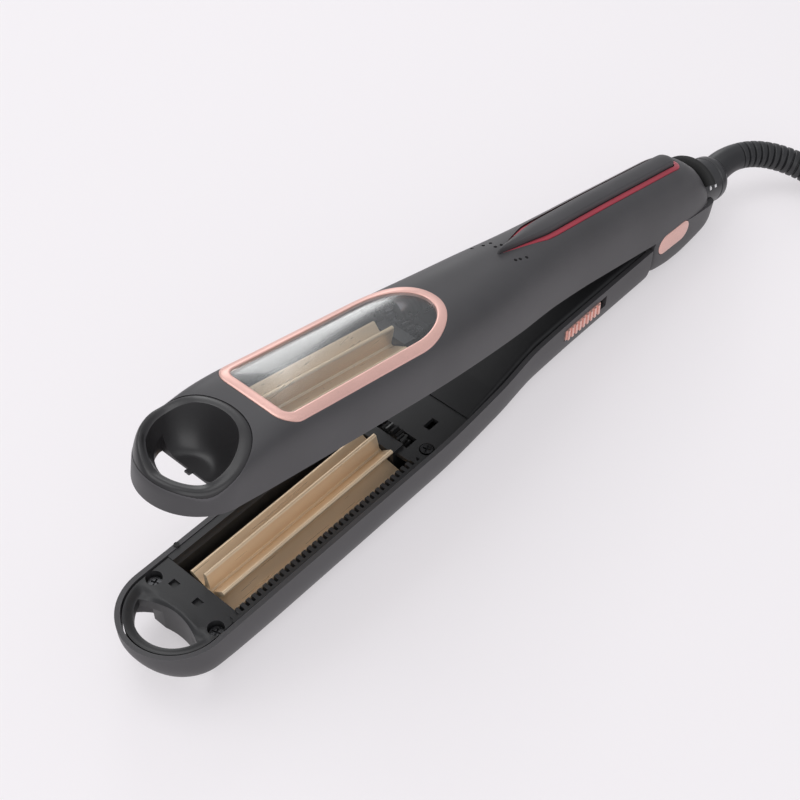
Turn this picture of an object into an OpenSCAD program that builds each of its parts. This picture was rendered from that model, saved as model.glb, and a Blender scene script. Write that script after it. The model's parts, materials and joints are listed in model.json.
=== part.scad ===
// Motor-driven hair crimper: two sprung arms on a rear hinge, each with a heated lobed roller.
// The pieces are drawn in the closed tool's frame: X from tip to cord, Z up, hinge axis at x = 0.
// in_lower() and in_upper() then place them, with the upper arm swung open on the hinge.

/* [Arms] */
// Width of both arms beside the rollers
front_w = 43.4; // [43:0.1:45]
// Width of the handle
handle_w = 31; // [30.6:0.1:32]
// Distance from the hinge to the lower arm's tip
lower_reach = 301; // [300:0.5:306]
// Distance from the hinge to the upper arm's tip
upper_reach = 289; // [288:0.5:294]
// Height of the plane where the closed arms meet
parting_z = 23.5; // [23.5:0.1:24]
// Height of the upper arm's top above the table at the handle
handle_top = 50.5; // [50:0.5:52]
// Height of the upper arm's top above the table at the window
window_top = 45; // [44.5:0.5:46]
// Gap left between the two rims when closed
rim_gap = 0.6; // [0.4:0.1:1]
// Thickness of the plastic casing
wall = 2; // [1.8:0.1:2.2]
// Angle between the arms when the spring holds them open
open_deg = 12.3; // [8:0.1:12.6]

/* [Rollers] */
// Radius to the lobe tips
lobe_tip_r = 11.4; // [11:0.1:11.4]
// Radius to the bottom of the grooves
lobe_root_r = 4.4; // [4.2:0.1:4.5]
// Rounding radius of each lobe tip
lobe_round = 0.9; // [0.7:0.1:1]
// Length of the lobed part
roller_len = 89.2; // [88:0.2:89.2]
// Distance of each roller axis from the parting plane
roller_drop = 8.4; // [8.4:0.1:8.5]
// Angle of the lower roller at rest
roller_phase = -18.6; // [-25:0.1:25]

/* [Comb] */
// Number of slots in the comb rail
comb_slots = 36; // [30:1:36]
// Distance from one slot to the next
comb_pitch = 2.81; // [2.6:0.01:2.81]
// Width of one slot
slot_w = 1.2; // [0.8:0.1:1.6]

/* [Hinge and tail] */
// Radius of the hinge pin
pin_r = 2.5; // [2:0.1:2.5]
// Radius of the tail collar
collar_r = 10.4; // [10.2:0.1:10.4]
// Travel of the lock slider towards the cord
lock_travel = 4; // [3:0.5:4]
// Travel of the slide switch
switch_travel = 4; // [3:0.5:4]

/* [Cord] */
// Radius of the power cord
cord_r = 3.1; // [2.8:0.1:3.2]
// Turn of the cord guard along the table, in degrees
guard_bend = 98; // [80:1:105]

/* [Hidden] */

fit = 0.05;              // radial clearance of everything that turns or slides
clear = 0.15;            // clearance between neighbouring fixed pieces
hinge_x = 130;           // puts the frame's origin under the middle of the lower arm
front_r = front_w / 2;
handle_r = handle_w / 2;
lower_arch_x = front_r - lower_reach;
upper_arch_x = front_r - upper_reach;
lower_rim_z = parting_z - rim_gap / 2;
upper_rim_z = parting_z + rim_gap / 2;
seam_z = upper_rim_z + 3.2;
corner_step = 11.25;     // turn between two points of an arm's rounded corner
crown = 1.2;             // rise of the upper arm's outer face along its middle
lobes = 7;
lobe_pitch = 360 / lobes;

lower_roller_x = -264.1;
roller_end_x = lower_roller_x + roller_len;
upper_roller_x = -244.5; // the dish in the upper tip leaves room for a shorter roller
lower_axis_z = parting_z - roller_drop;
upper_axis_z = parting_z + roller_drop;
journal_r = 3.6;
heater_r = 2.2;
heater_end_x = -151;
heater_block = [heater_end_x - 5, heater_end_x];
bush_r = 4.7;
front_block_gap = 7.9;    // from a roller's front end to the front of its bearing block
lower_block_x = lower_roller_x - front_block_gap;
upper_block_x = upper_roller_x - front_block_gap;
rear_block_x = roller_end_x + 0.6;
block_len = 6;
gear_x = rear_block_x + block_len + 1;
gear_w = 4;

gear_module = 0.8;
gear_teeth = 18;
pinion_teeth = 9;
gear_gap = gear_module * (gear_teeth + pinion_teeth) / 2 + 0.15;
gear_turn = 28;          // direction from the roller axis to the pinion, up from the side
pinion_y = gear_gap * cos(gear_turn);
pinion_rise = gear_gap * sin(gear_turn);
motor_r = 5.7;
motor_x = gear_x + gear_w + 1.2;
motor_len = 24;
shaft_r = 1;

bay_x = -266;
bay_end_x = -172.5;
bay_half = 15.6;
// Screws that hold the two plates to the lower shell: x, y and the height of the head's seat.
plate_screw_spots = [[-275.5, -16.1, 18.4], [-275.5, 16.1, 18.4], [-163.5, -15.4, 19.2]];
base_screw_x = [-128, -50];
base_screw_y = 9;
post_r = 4.1;
screw_head_r = 2.6;
screw_r = 1.5;

window_x = -245;
window_end_x = -147.6;
window_half = 18.6;
window_nose = 27;        // length of the window's rounded rear end
bezel_w = 3.9;

band_x = -111;
band_end_x = 14;
band_y = 1.1;
panel_half = 4.4;
strip_half = 6.6;

dish_x = -270.5;
dish_rx = 17;
dish_ry = 19.3;

knuckle_r = 9.3;
knuckle_half = 9.2;
cheek_gap = 9.5;
tail_z = 27.5;
cap_x = 3;
cap_z = parting_z - 2.1;
cap_half = 11.5;
cap_r = 4.9;
cap_tilt = -9;
collar_x = 28;
collar_end_x = 56;
swivel_r = 6;
lock_x = 32;
lock_len = 7;
switch_x = -75.5;
switch_z = 17;
switch_len = 24;
spring_x = -27;
bumper_x = -260.5;
bumper_y = front_r - 1.1;

guard_x = collar_end_x * cos(open_deg) + (tail_z - parting_z) * sin(open_deg);
guard_z = parting_z - collar_end_x * sin(open_deg) + (tail_z - parting_z) * cos(open_deg);
guard_len = 70;
guard_radius = guard_len * 180 / (PI * guard_bend);
guard_r = 6.2;
cord_len = 60;
plug_len = 36;
plug_pin_gap = 18.6;
plug_pin_r = 2;
plug_pin_hold = 8;       // length of each pin inside the plug

// --- Placing ---------------------------------------------------------------

module in_lower() {
    translate([hinge_x, 0, 0])
        children();
}

module in_upper() {
    translate([hinge_x, 0, parting_z])
        rotate([0, open_deg, 0])
            translate([0, 0, -parting_z])
                children();
}

// Both sides of the tool: +Y and its mirror image.
module both_sides() {
    for (side = [-1, 1])
        scale([1, side, 1])
            children();
}

module along_x(x, y, z) {
    translate([x, y, z])
        rotate([0, 90, 0])
            children();
}

module box(x, y, z) {
    translate([x[0], y[0], z[0]])
        cube([x[1] - x[0], y[1] - y[0], z[1] - z[0]]);
}

// --- Arm skins -------------------------------------------------------------
// A station is [x, half width, height of the outer face, corner radius].

tip_angles = [4, 14, 26, 40, 56, 72, 90];

function lower_stations(inset) = concat(
    [for (a = tip_angles)
        [lower_arch_x - (front_r - inset) * cos(a), (front_r - inset) * sin(a),
            3 + 10 * cos(a) * cos(a) + inset, 12]],
    [
        [-250, front_r - inset, inset, 12],
        [-165, front_r - inset, inset, 12],
        [-123, front_r - 2.4 - inset, inset, 11],
        [-92, handle_r + 0.4 - inset, inset, 9],
        [-60, handle_r - inset, inset, 8.5],
        [-13.5 + inset, handle_r - inset, inset, 8.5]
    ]);

function upper_stations(inset) = concat(
    [for (a = tip_angles)
        [upper_arch_x - (front_r - inset) * cos(a), (front_r - inset) * sin(a),
            window_top - 4 - 5 * cos(a) - inset, 9]],
    [
        [-250, front_r - inset, window_top - 0.4 - inset, 9],
        [-240, front_r - inset, window_top - inset, 9],
        [-180, front_r + 0.1 - inset, window_top + 0.5 - inset, 9],
        [-144, front_r - 0.7 - inset, window_top + 1.5 - inset, 9.5],
        [-116, front_r - 2.3 - inset, handle_top - 2.5 - inset, 10],
        [-86, handle_r + 1 - inset, handle_top - 1 - inset, 10],
        [-40, handle_r - inset, handle_top - inset, 10],
        [4, handle_r - inset, handle_top - inset, 10],
        [18, handle_r - 0.5 - inset, handle_top - 2 - inset, 10],
        [25, handle_r - 1 - inset, handle_top - 6 - inset, 10],
        [31, handle_r - 1.8 - inset, handle_top - 12.5 - inset, 9],
        [38.5 - inset, handle_r - 3 - inset, handle_top - 20 - inset, 6]
    ]);

// The outline of one cross-section of an arm. toward is -1 for the lower arm, which has its
// corners at the bottom, and 1 for the upper arm; open_z is the height of the section's flat open
// side, and crown is how much higher the outer face is along its middle.
function arm_section(station, toward, open_z, crown) =
    let (
        half = max(station[1], 0.6),
        height = abs(station[2] - open_z),
        drop = crown * min(1, half / 10),
        r = min(station[3], half - 0.1, (height - drop) / 2),
        corner = [for (a = [0 : corner_step : 90])
            [half - r + r * cos(a), height - drop - r + r * sin(a)]],
        side = [[half, 0], each corner, [0, height]]
    )
    [for (mirrored = [1, -1]) for (point = side)
        [station[0], mirrored * point[0], open_z + toward * point[1]]];

module arm_skin(stations, toward, open_z, crown = 0) {
    for (i = [0 : len(stations) - 2]) {
        front = arm_section(stations[i], toward, open_z, crown);
        rear = arm_section(stations[i + 1], toward, open_z, crown);
        count = len(front);
        hull()
            polyhedron(
                points = concat(front, rear),
                faces = [[for (k = [0 : count - 1]) k], [for (k = [0 : count - 1]) count + k]]);
    }
}

// The rounded outline of the window, shrunk by inset, as a tall prism.
module window_prism(inset) {
    round_r = 6;
    end_r = window_half - inset;
    end_len = window_nose - inset;
    translate([0, 0, seam_z])
        linear_extrude(height = 40)
            hull() {
                for (side = [-1, 1])
                    translate([window_x + round_r, side * (window_half - round_r)])
                        circle(r = round_r - inset, $fn = 40);
                translate([window_end_x - window_nose, 0])
                    scale([end_len / end_r, 1])
                        circle(r = end_r, $fn = 80);
            }
}

// The D-shaped opening through an arm's tip, which also serves as a hanging hole.
module tip_hole(arch_x, r, depth) {
    translate([0, 0, -10])
        linear_extrude(height = depth)
            intersection() {
                translate([arch_x, 0])
                    circle(r = r, $fn = 64);
                translate([arch_x - 2 - r, -r])
                    square([r, 2 * r]);
            }
}

// The outline on top of the handle that is band_half wide to each side of its own middle, with a
// pointed front and a rounded rear.
module band_outline(band_half) {
    hull() {
        translate([band_x, 0])
            circle(r = 0.4, $fn = 16);
        translate([band_x + 26, 0])
            circle(r = band_half, $fn = 32);
        translate([band_end_x - strip_half, 0])
            circle(r = band_half, $fn = 48);
    }
}

// The band between two half widths as a tall prism.
module top_band(inner, outer) {
    translate([0, band_y, handle_top - 14])
        linear_extrude(height = 30)
            difference() {
                band_outline(outer);
                if (inner > 0)
                    band_outline(inner);
            }
}

// --- Lower arm -------------------------------------------------------------

module lower_shell() {
    color([0.17, 0.17, 0.18])
        in_lower()
            difference() {
                arm_skin(lower_stations(0), -1, lower_rim_z);
                difference() {
                    arm_skin(lower_stations(wall), -1, lower_rim_z + 1);
                    for (spot = plate_screw_spots)
                        translate([spot[0], spot[1], 0])
                            cylinder(r = post_r, h = 16.9, $fn = 32);
                }
                for (spot = plate_screw_spots)
                    translate([spot[0], spot[1], 8])
                        cylinder(r = screw_r + clear, h = 20, $fn = 32);
                translate([bumper_x, bumper_y, lower_rim_z - 3])
                    cylinder(r = 0.65, h = 4, $fn = 16);
                tip_hole(lower_arch_x, 15.4, 40);
                box([switch_x - 0.6, switch_x + switch_len + switch_travel + 0.6], [-20, -10],
                    [switch_z - 3, switch_z + 3]);
            }
}

module nose_plate() {
    color([0.1, 0.1, 0.11])
        in_lower()
            difference() {
                union() {
                    intersection() {
                        translate([0, 0, 17])
                            linear_extrude(height = 3.4)
                                union() {
                                    translate([lower_arch_x, 0])
                                        circle(r = front_r - wall - 0.5, $fn = 96);
                                    translate([lower_arch_x, -front_r + wall + clear])
                                        square([bay_x - lower_arch_x, 2 * (front_r - wall - clear)]);
                                }
                        box([-400, bay_x], [-30, 30], [0, 30]);
                    }
                    box([-281, bay_x], [-11, 11], [20.2, 21.4]);
                    box([lower_block_x, bay_x], [-7.5, 7.5], [6, 20.4]);
                }
                tip_hole(lower_arch_x, 15.4, 40);
                plate_screw_holes();
                along_x(lower_block_x - 1, 0, lower_axis_z)
                    cylinder(r = bush_r, h = 20);
                for (y = [-6.5, 6.5])
                    box([-274.6, -271.4], [y - 1.6, y + 1.6], [19.6, 30]);
            }
}

module plate_screw_holes() {
    for (spot = plate_screw_spots)
        translate([spot[0], spot[1], 0]) {
            cylinder(r = screw_r + clear, h = 30);
            translate([0, 0, spot[2]])
                cylinder(r = screw_head_r + 0.5, h = 10);
        }
}

module side_rail() {
    color([0.1, 0.1, 0.11])
        in_lower()
            difference() {
                box([bay_x + clear, bay_end_x - clear], [bay_half, front_r - wall - clear],
                    [13, lower_rim_z - 0.4]);
                translate([bay_x - 1, bay_half - 3.2, lower_rim_z])
                    rotate([0, 90, 0])
                        cylinder(r = 4.4, h = 120);
            }
}

module comb_rail() {
    first = -268.2 + 2.4;
    color([0.16, 0.16, 0.17])
        in_lower()
            difference() {
                union() {
                    box([bay_x + clear, bay_end_x - clear], [-front_r + wall + clear, -bay_half],
                        [13, lower_rim_z]);
                    box([bay_x - 4, bay_end_x + 4], [-front_r + wall + clear, -bay_half - 0.8],
                        [20.6, lower_rim_z]);
                }
                for (i = [0 : comb_slots - 1])
                    box([first + i * comb_pitch - 4 - slot_w / 2, first + i * comb_pitch - 4 + slot_w / 2],
                        [-front_r + wall + 1.4, -bay_half + 2], [lower_rim_z - 4.2, lower_rim_z + 1]);
            }
}

module bearing_plate() {
    color([0.1, 0.1, 0.11])
        in_lower()
            difference() {
                union() {
                    box([bay_end_x, -141], [-front_r + wall + 1.6, front_r - wall - 1.6], [18.4, 20.4]);
                    box([rear_block_x, rear_block_x + block_len], [-7.5, 7.5], [6, 21.4]);
                    box(heater_block, [-4, 3.4], [8, 19]);
                }
                plate_screw_holes();
                along_x(rear_block_x - 1, 0, lower_axis_z)
                    cylinder(r = bush_r, h = block_len + 2);
                along_x(heater_block[0] - 1, 0, lower_axis_z)
                    cylinder(r = heater_r, h = 7);
                gear_opening();
                box([-155.4, -149.6], [-9.6, -6.4], [10, 30]);
            }
}

// Room for the roller's gear and the pinion beside it.
module gear_opening() {
    box([gear_x - 1, gear_x + gear_w + 1], [-9.2, 14.6], [0, 60]);
}

module handle_cover() {
    color([0.13, 0.13, 0.14])
        in_lower()
            difference() {
                arm_skin([
                    [-140.8, 17.8, lower_rim_z - 2.4, 2],
                    [-123, 16.8, lower_rim_z - 1.2, 3],
                    [-92, handle_r - wall - clear, lower_rim_z - 0.3, 3.5],
                    [-60, handle_r - wall - clear, lower_rim_z - 0.1, 3.5],
                    [-36, handle_r - wall - clear, lower_rim_z - 0.1, 3.5],
                    [-14, handle_r - wall - clear, lower_rim_z - 0.1, 3.5]
                ], 1, 17.4);
                difference() {
                    arm_skin([
                        [-145, 16, lower_rim_z - 3.8, 2],
                        [-92, handle_r - wall - 1.8, lower_rim_z - 1.9, 3],
                        [-60, handle_r - wall - 1.8, lower_rim_z - 1.9, 3],
                        [-2, handle_r - wall - 1.8, lower_rim_z - 1.9, 3]
                    ], 1, 16);
                    translate([spring_x, 0, 0])
                        cylinder(r = 6.4, h = 40, $fn = 48);
                }
                translate([spring_x, 0, 0])
                    cylinder(r = 5.2, h = 40, $fn = 48);
                box([-19, -2], [-knuckle_half - 0.3, knuckle_half + 0.3], [0, 40]);
                box([switch_x - 2, switch_x + switch_len + switch_travel + 2], [-20, -4.9], [0, switch_z + 4.2]);
            }
}

module hinge_knuckle() {
    color([0.11, 0.11, 0.12])
        in_lower()
            difference() {
                union() {
                    translate([0, knuckle_half, parting_z])
                        rotate([90, 0, 0])
                            cylinder(r = knuckle_r, h = 2 * knuckle_half);
                    box([-18, -3], [-knuckle_half, knuckle_half], [wall + 1.4, 17]);
                    box([-40, -3], [-7, 7], [wall + 0.5, 8]);
                }
                translate([0, knuckle_half + 1, parting_z])
                    rotate([90, 0, 0])
                        cylinder(r = pin_r + fit, h = 2 * knuckle_half + 2);
                translate([spring_x, 0, 5])
                    cylinder(r = 5, h = 10);
            }
}

// A rubber peg in the rim that the upper arm lands on.
module stop_bumper() {
    color([0.05, 0.05, 0.05])
        in_lower()
            translate([bumper_x, bumper_y, lower_rim_z])
                union() {
                    cylinder(r = 1.1, h = rim_gap - 0.1);
                    translate([0, 0, -2.8])
                        cylinder(r = 0.6, h = 3);
                }
}

module crosshead_screw(x, y, z, length) {
    translate([x, y, z])
        difference() {
            union() {
                cylinder(r = screw_head_r, h = 1.5);
                translate([0, 0, -length])
                    cylinder(r = screw_r, h = length);
            }
            for (turn = [20, 110])
                rotate([0, 0, turn])
                    translate([-1.6, -0.35, 0.6])
                        cube([3.2, 0.7, 2]);
        }
}

module plate_screws() {
    color([0.12, 0.12, 0.13])
        in_lower()
            for (spot = plate_screw_spots)
                crosshead_screw(spot[0], spot[1], spot[2], 9);
}

// Bearing bushes, one at each end of a roller.
module roller_bushes(front_x, axis_z) {
    for (x = [front_x + clear, rear_block_x])
        along_x(x, 0, axis_z)
            difference() {
                cylinder(r = bush_r, h = block_len - 0.3);
                translate([0, 0, -1])
                    cylinder(r = journal_r + fit, h = block_len + 2);
            }
}

module lower_bushes() {
    color([0.72, 0.58, 0.32])
        in_lower()
            roller_bushes(lower_block_x, lower_axis_z);
}

// The heating rod stands still inside its roller and is held by the block at the rear.
module heater_rod(start_x, axis_z) {
    along_x(start_x, 0, axis_z)
        cylinder(r = heater_r, h = heater_end_x - start_x);
}

module lower_heater() {
    color([0.86, 0.85, 0.82])
        in_lower()
            heater_rod(lower_roller_x + 4, lower_axis_z);
}

// A can motor with its end caps; y and z place the shaft.
module gearmotor(y, z) {
    difference() {
        union() {
            along_x(motor_x, y, z)
                cylinder(r = motor_r, h = motor_len);
            along_x(motor_x + motor_len, y, z)
                cylinder(r = 2.2, h = 2);
        }
        along_x(motor_x - 1, y, z)
            cylinder(r = shaft_r + fit, h = 9);
    }
}

module lower_gearmotor() {
    color([0.62, 0.62, 0.64])
        in_lower()
            gearmotor(pinion_y, lower_axis_z - pinion_rise);
}

module switch_body() {
    color([0.09, 0.09, 0.1])
        in_lower()
            box([switch_x + 2, switch_x + switch_len + 2], [-10.6, -5], [switch_z - 4, switch_z + 4]);
}

module switch_knob() {
    ridge_pitch = 2.6;
    color([0.83, 0.6, 0.56])
        in_lower() {
            box([switch_x, switch_x + switch_len], [-handle_r - 0.2, -10.75], [switch_z - 2.6, switch_z + 2.6]);
            box([switch_x + 1, switch_x + switch_len - 1], [-handle_r + wall + 0.2, -10.75],
                [switch_z - 3.8, switch_z + 3.8]);
            for (i = [0 : 8])
                box([switch_x + 0.8 + i * ridge_pitch, switch_x + 2 + i * ridge_pitch],
                    [-handle_r - 1, -handle_r - 0.1], [switch_z - 2.6, switch_z + 2.6]);
        }
}

// --- Rollers and drive -----------------------------------------------------

// Points of the lobed outline, anticlockwise, with the first lobe at angle zero.
function lobe_points(k) = concat(
    [for (a = [-76 : 19 : 76])
        let (turn = k * lobe_pitch)
        [(lobe_tip_r - lobe_round) * cos(turn) + lobe_round * cos(turn + a),
            (lobe_tip_r - lobe_round) * sin(turn) + lobe_round * sin(turn + a)]],
    [for (a = [-6 : 6 : 6])
        let (turn = (k + 0.5) * lobe_pitch + a)
        [lobe_root_r * cos(turn), lobe_root_r * sin(turn)]]);

// A roller along X, turned so that a lobe points along the given angle from +Z towards +Y.
module roller(start_x, axis_z, lobe_deg) {
    outline = [for (k = [0 : lobes - 1]) each lobe_points(k)];
    journal_start = 0.6 - front_block_gap;
    translate([start_x, 0, axis_z])
        rotate([90 - lobe_deg, 0, 0])
            rotate([90, 0, 90])
                difference() {
                    union() {
                        linear_extrude(height = roller_end_x - start_x)
                            polygon(outline);
                        translate([0, 0, journal_start])
                            cylinder(r = journal_r, h = gear_x + gear_w - start_x - journal_start);
                    }
                    translate([0, 0, -20])
                        cylinder(r = heater_r + 0.25, h = 150);
                }
}

module lower_roller() {
    color([0.75, 0.64, 0.48])
        in_lower()
            roller(lower_roller_x, lower_axis_z, roller_phase + lobe_pitch / 2);
}

module upper_roller() {
    color([0.75, 0.64, 0.48])
        in_upper()
            roller(upper_roller_x, upper_axis_z, 180 - roller_phase);
}

// A spur gear whose first tooth is centred on the X axis of its own plane.
module spur_gear(teeth, bore) {
    pitch_r = gear_module * teeth / 2;
    step = 360 / teeth;
    difference() {
        linear_extrude(height = gear_w)
            polygon([for (k = [0 : teeth - 1]) each [
                for (corner = [[-0.34, -1.05], [-0.15, 0.75], [0.15, 0.75], [0.34, -1.05]])
                    let (r = pitch_r + corner[1] * gear_module, a = (k + corner[0]) * step)
                    [r * cos(a), r * sin(a)]
            ]]);
        translate([0, 0, -1])
            cylinder(r = bore, h = gear_w + 2);
    }
}

// The gear pressed on the roller's rear journal; one tooth points at the pinion.
module roller_gear(axis_z, toward) {
    translate([gear_x, 0, axis_z])
        rotate([toward * gear_turn, 0, 0])
            rotate([90, 0, 90])
                spur_gear(gear_teeth, journal_r);
}

module motor_pinion(axis_z, toward) {
    translate([gear_x, pinion_y, axis_z + toward * pinion_rise])
        rotate([toward * gear_turn, 0, 0])
            rotate([90, 0, 90])
                rotate([0, 0, 180 + 180 / pinion_teeth])
                    spur_gear(pinion_teeth, shaft_r / 2);
    along_x(gear_x, pinion_y, axis_z + toward * pinion_rise)
        cylinder(r = shaft_r, h = motor_x - gear_x + 7);
}

module lower_roller_gear() {
    color([0.75, 0.62, 0.35])
        in_lower()
            roller_gear(lower_axis_z, -1);
}

module lower_pinion() {
    color([0.75, 0.62, 0.35])
        in_lower()
            motor_pinion(lower_axis_z, -1);
}

module upper_roller_gear() {
    color([0.75, 0.62, 0.35])
        in_upper()
            roller_gear(upper_axis_z, 1);
}

module upper_pinion() {
    color([0.75, 0.62, 0.35])
        in_upper()
            motor_pinion(upper_axis_z, 1);
}

// --- Upper arm -------------------------------------------------------------

// Everything deeper than the given depth below the upper arm's outer face.
module upper_core(depth) {
    arm_skin(upper_stations(depth), 1, seam_z - 1, crown);
}

module upper_shell() {
    color([0.17, 0.17, 0.18])
        in_upper()
            difference() {
                arm_skin(upper_stations(0), 1, seam_z, crown);
                difference() {
                    arm_skin(upper_stations(wall), 1, seam_z - 1, crown);
                    at_base_screws(30)
                        cylinder(r = 3.4, h = 30, $fn = 24);
                }
                at_base_screws(20)
                    cylinder(r = screw_r + clear, h = 20, $fn = 24);
                window_prism(0);
                translate([dish_x, 0, 20])
                    scale([dish_rx, dish_ry, 1])
                        cylinder(r = 1, h = 40, $fn = 64);
                tip_hole(upper_arch_x, 15.4, 80);
                difference() {
                    top_band(0, strip_half);
                    upper_core(1.1);
                }
                cap_recess();
                along_x(collar_x - 1, 0, tail_z)
                    cylinder(r = collar_r + clear, h = 40, $fn = 64);
                along_x(lock_x - 0.5, 0, tail_z)
                    cylinder(r = collar_r + 4.4, h = 40, $fn = 64);
                for (side = [-1, 1])
                    box([-112, -106], [side * 11.3 - 3, side * 11.3 + 3], [38, 60]);
            }
}

// The screws that hold the base to the upper shell, starting at height z.
module at_base_screws(z) {
    for (x = base_screw_x)
        both_sides()
            translate([x, base_screw_y, z])
                children();
}

// The underside of the upper arm: a tray along the rim, open around the roller.
module upper_base() {
    tray_top = seam_z - 0.1;
    seat_x = spring_x - 1;
    color([0.14, 0.14, 0.15])
        in_upper()
            difference() {
                union() {
                    difference() {
                        arm_skin([
                            for (s = upper_stations(0)) if (s[0] < -30) [s[0], s[1], tray_top, 0.3],
                            [-12.6, handle_r, tray_top, 0.3]
                        ], 1, upper_rim_z);
                        box([bay_x, bay_end_x], [-bay_half, bay_half], [0, 60]);
                        gear_opening();
                        arm_skin([
                            [-146, 17, 40, 1],
                            [-116, front_r - 4.3, 40, 1],
                            [-86, handle_r - wall - 0.6, 40, 1],
                            [-36, handle_r - wall - 0.6, 40, 1]
                        ], 1, upper_rim_z + 1.8);
                    }
                    at_base_screws(upper_rim_z + 0.5)
                        cylinder(r = 3.4, h = 5.5, $fn = 24);
                    translate([seat_x, 0, upper_rim_z + 0.5])
                        cylinder(r = 7.2, h = 6.2, $fn = 48);
                }
                tip_hole(upper_arch_x, 15.4, 80);
                translate([seat_x, 0, 0])
                    cylinder(r = 5.8, h = 29, $fn = 48);
                at_base_screws(0) {
                    cylinder(r = screw_r + clear, h = 60, $fn = 24);
                    cylinder(r = screw_head_r + clear, h = upper_rim_z + 1.7, $fn = 24);
                }
            }
}

// The two hinge cheeks and the tail block behind them.
module hinge_housing() {
    color([0.15, 0.15, 0.16])
        in_upper()
            difference() {
                hull() {
                    cheek_plate(handle_r - 2, 0);
                    cheek_plate(handle_r, 2.5);
                }
                translate([0, cheek_gap, parting_z])
                    rotate([90, 0, 0])
                        linear_extrude(height = 2 * cheek_gap) {
                            circle(r = knuckle_r + 0.7);
                            polygon([[-30, 30], [-30, -30], [6, -30], [8, -6], [8, 30]]);
                        }
                translate([0, 30, parting_z])
                    rotate([90, 0, 0])
                        cylinder(r = pin_r, h = 60);
                cap_recess();
                along_x(collar_x - 1, 0, tail_z)
                    cylinder(r = collar_r + clear, h = 40);
            }
}

// Side profile of the cheeks and tail block, given a half width and an inset from its edge.
module cheek_plate(half, inset) {
    translate([0, half, 0])
        rotate([90, 0, 0])
            linear_extrude(height = 2 * half)
                polygon([
                    [-12 + inset, seam_z - 0.1],
                    [-12 + inset, 21],
                    [-6.5 + inset, 3.6 + inset],
                    [8, 3.2 + inset],
                    [36 - inset, 13 + inset],
                    [38.4 - inset, 17 + inset],
                    [38.4 - inset, seam_z - 0.1]
                ]);
}

// The shallow seats for the trim caps over the hinge, one on each side.
module cap_recess() {
    both_sides()
        translate([cap_x, handle_r - 1.1, cap_z])
            rotate([-90, 0, 0])
                rotate([0, 0, cap_tilt])
                    linear_extrude(height = 5)
                        long_oval(cap_half + clear, cap_r + clear);
}

// A flat oval with straight sides, centred, with its long way along X.
module long_oval(half, r) {
    for (side = [-1, 1])
        translate([side * (half - r), 0])
            circle(r = r);
    square([2 * (half - r), 2 * r], center = true);
}

module tip_dish() {
    color([0.07, 0.07, 0.08])
        in_upper()
            difference() {
                intersection() {
                    translate([dish_x, 0, 20])
                        scale([dish_rx - clear, dish_ry - clear, 1])
                            cylinder(r = 1, h = 40, $fn = 64);
                    difference() {
                        upper_core(-0.5);
                        translate([dish_x, 0, 52])
                            scale([1, 1, 1.3])
                                sphere(r = 17.6, $fn = 64);
                    }
                    box([-400, -200], [-30, 30], [seam_z + 0.1, 60]);
                }
                tip_hole(upper_arch_x, 14.6, 80);
            }
}

module window_bezel() {
    color([0.88, 0.65, 0.6])
        in_upper()
            difference() {
                intersection() {
                    upper_core(-0.5);
                    window_prism(clear);
                }
                upper_core(1.3);
                window_prism(bezel_w);
            }
}

module window_lens() {
    color([0.8, 0.82, 0.84, 0.35])
        in_upper()
            difference() {
                intersection() {
                    upper_core(-0.3);
                    window_prism(bezel_w + 0.1);
                }
                upper_core(1.4);
            }
}

module top_panel() {
    color([0.19, 0.19, 0.2])
        in_upper()
            difference() {
                intersection() {
                    upper_core(-1.6);
                    top_band(0, panel_half);
                }
                upper_core(1);
            }
}

module trim_strips() {
    color([0.68, 0.28, 0.33])
        in_upper()
            difference() {
                intersection() {
                    upper_core(-0.3);
                    top_band(panel_half + 0.1, strip_half - clear);
                }
                upper_core(1);
            }
}

module vent_grille() {
    color([0.06, 0.06, 0.06])
        in_upper()
            for (side = [-1, 1])
                difference() {
                    intersection() {
                        box([-111.9, -106.1], [side * 11.3 - 2.9, side * 11.3 + 2.9], [38, 60]);
                        difference() {
                            upper_core(0);
                            upper_core(wall);
                        }
                    }
                    for (i = [-1 : 1])
                        translate([-109 + i * 1.7, side * 11.3 + i * 1.4, 30])
                            cylinder(r = 0.6, h = 40, $fn = 16);
                }
}

module base_screws() {
    color([0.12, 0.12, 0.13])
        in_upper()
            at_base_screws(upper_rim_z + 1.6)
                mirror([0, 0, 1])
                    crosshead_screw(0, 0, 0, 12);
}

// The frame that carries the upper roller, its heater and its motor: two rails joined by three
// cross bars, with a bearing block on the first two and the heater's clamp on the third.
module upper_frame() {
    rail_y = [bay_half + 0.1, front_r - wall - 1.5];
    bar_z = [seam_z + 0.1, seam_z + 3.5];
    rear_block = [rear_block_x, rear_block_x + block_len];
    front_block = [upper_block_x, upper_block_x + block_len - 0.2];
    color([0.1, 0.1, 0.11])
        in_upper()
            difference() {
                union() {
                    both_sides()
                        box([upper_block_x, heater_end_x], rail_y, bar_z);
                    for (bar = [front_block, rear_block, heater_block])
                        box(bar, [-rail_y[1], rail_y[1]], bar_z);
                    for (block = [front_block, rear_block])
                        box(block, [-7.5, 7.5], [seam_z + 0.1, upper_axis_z + 6.5]);
                    box(heater_block, [-4, 3.4], [seam_z + 0.1, upper_axis_z + 5]);
                }
                along_x(upper_block_x - 1, 0, upper_axis_z)
                    cylinder(r = bush_r, h = block_len + 2);
                along_x(rear_block_x - 1, 0, upper_axis_z)
                    cylinder(r = bush_r, h = block_len + 2);
                along_x(heater_block[0] - 1, 0, upper_axis_z)
                    cylinder(r = heater_r, h = 7);
            }
}

module upper_bushes() {
    color([0.72, 0.58, 0.32])
        in_upper()
            roller_bushes(upper_block_x, upper_axis_z);
}

module upper_heater() {
    color([0.86, 0.85, 0.82])
        in_upper()
            heater_rod(upper_roller_x + 4, upper_axis_z);
}

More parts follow.
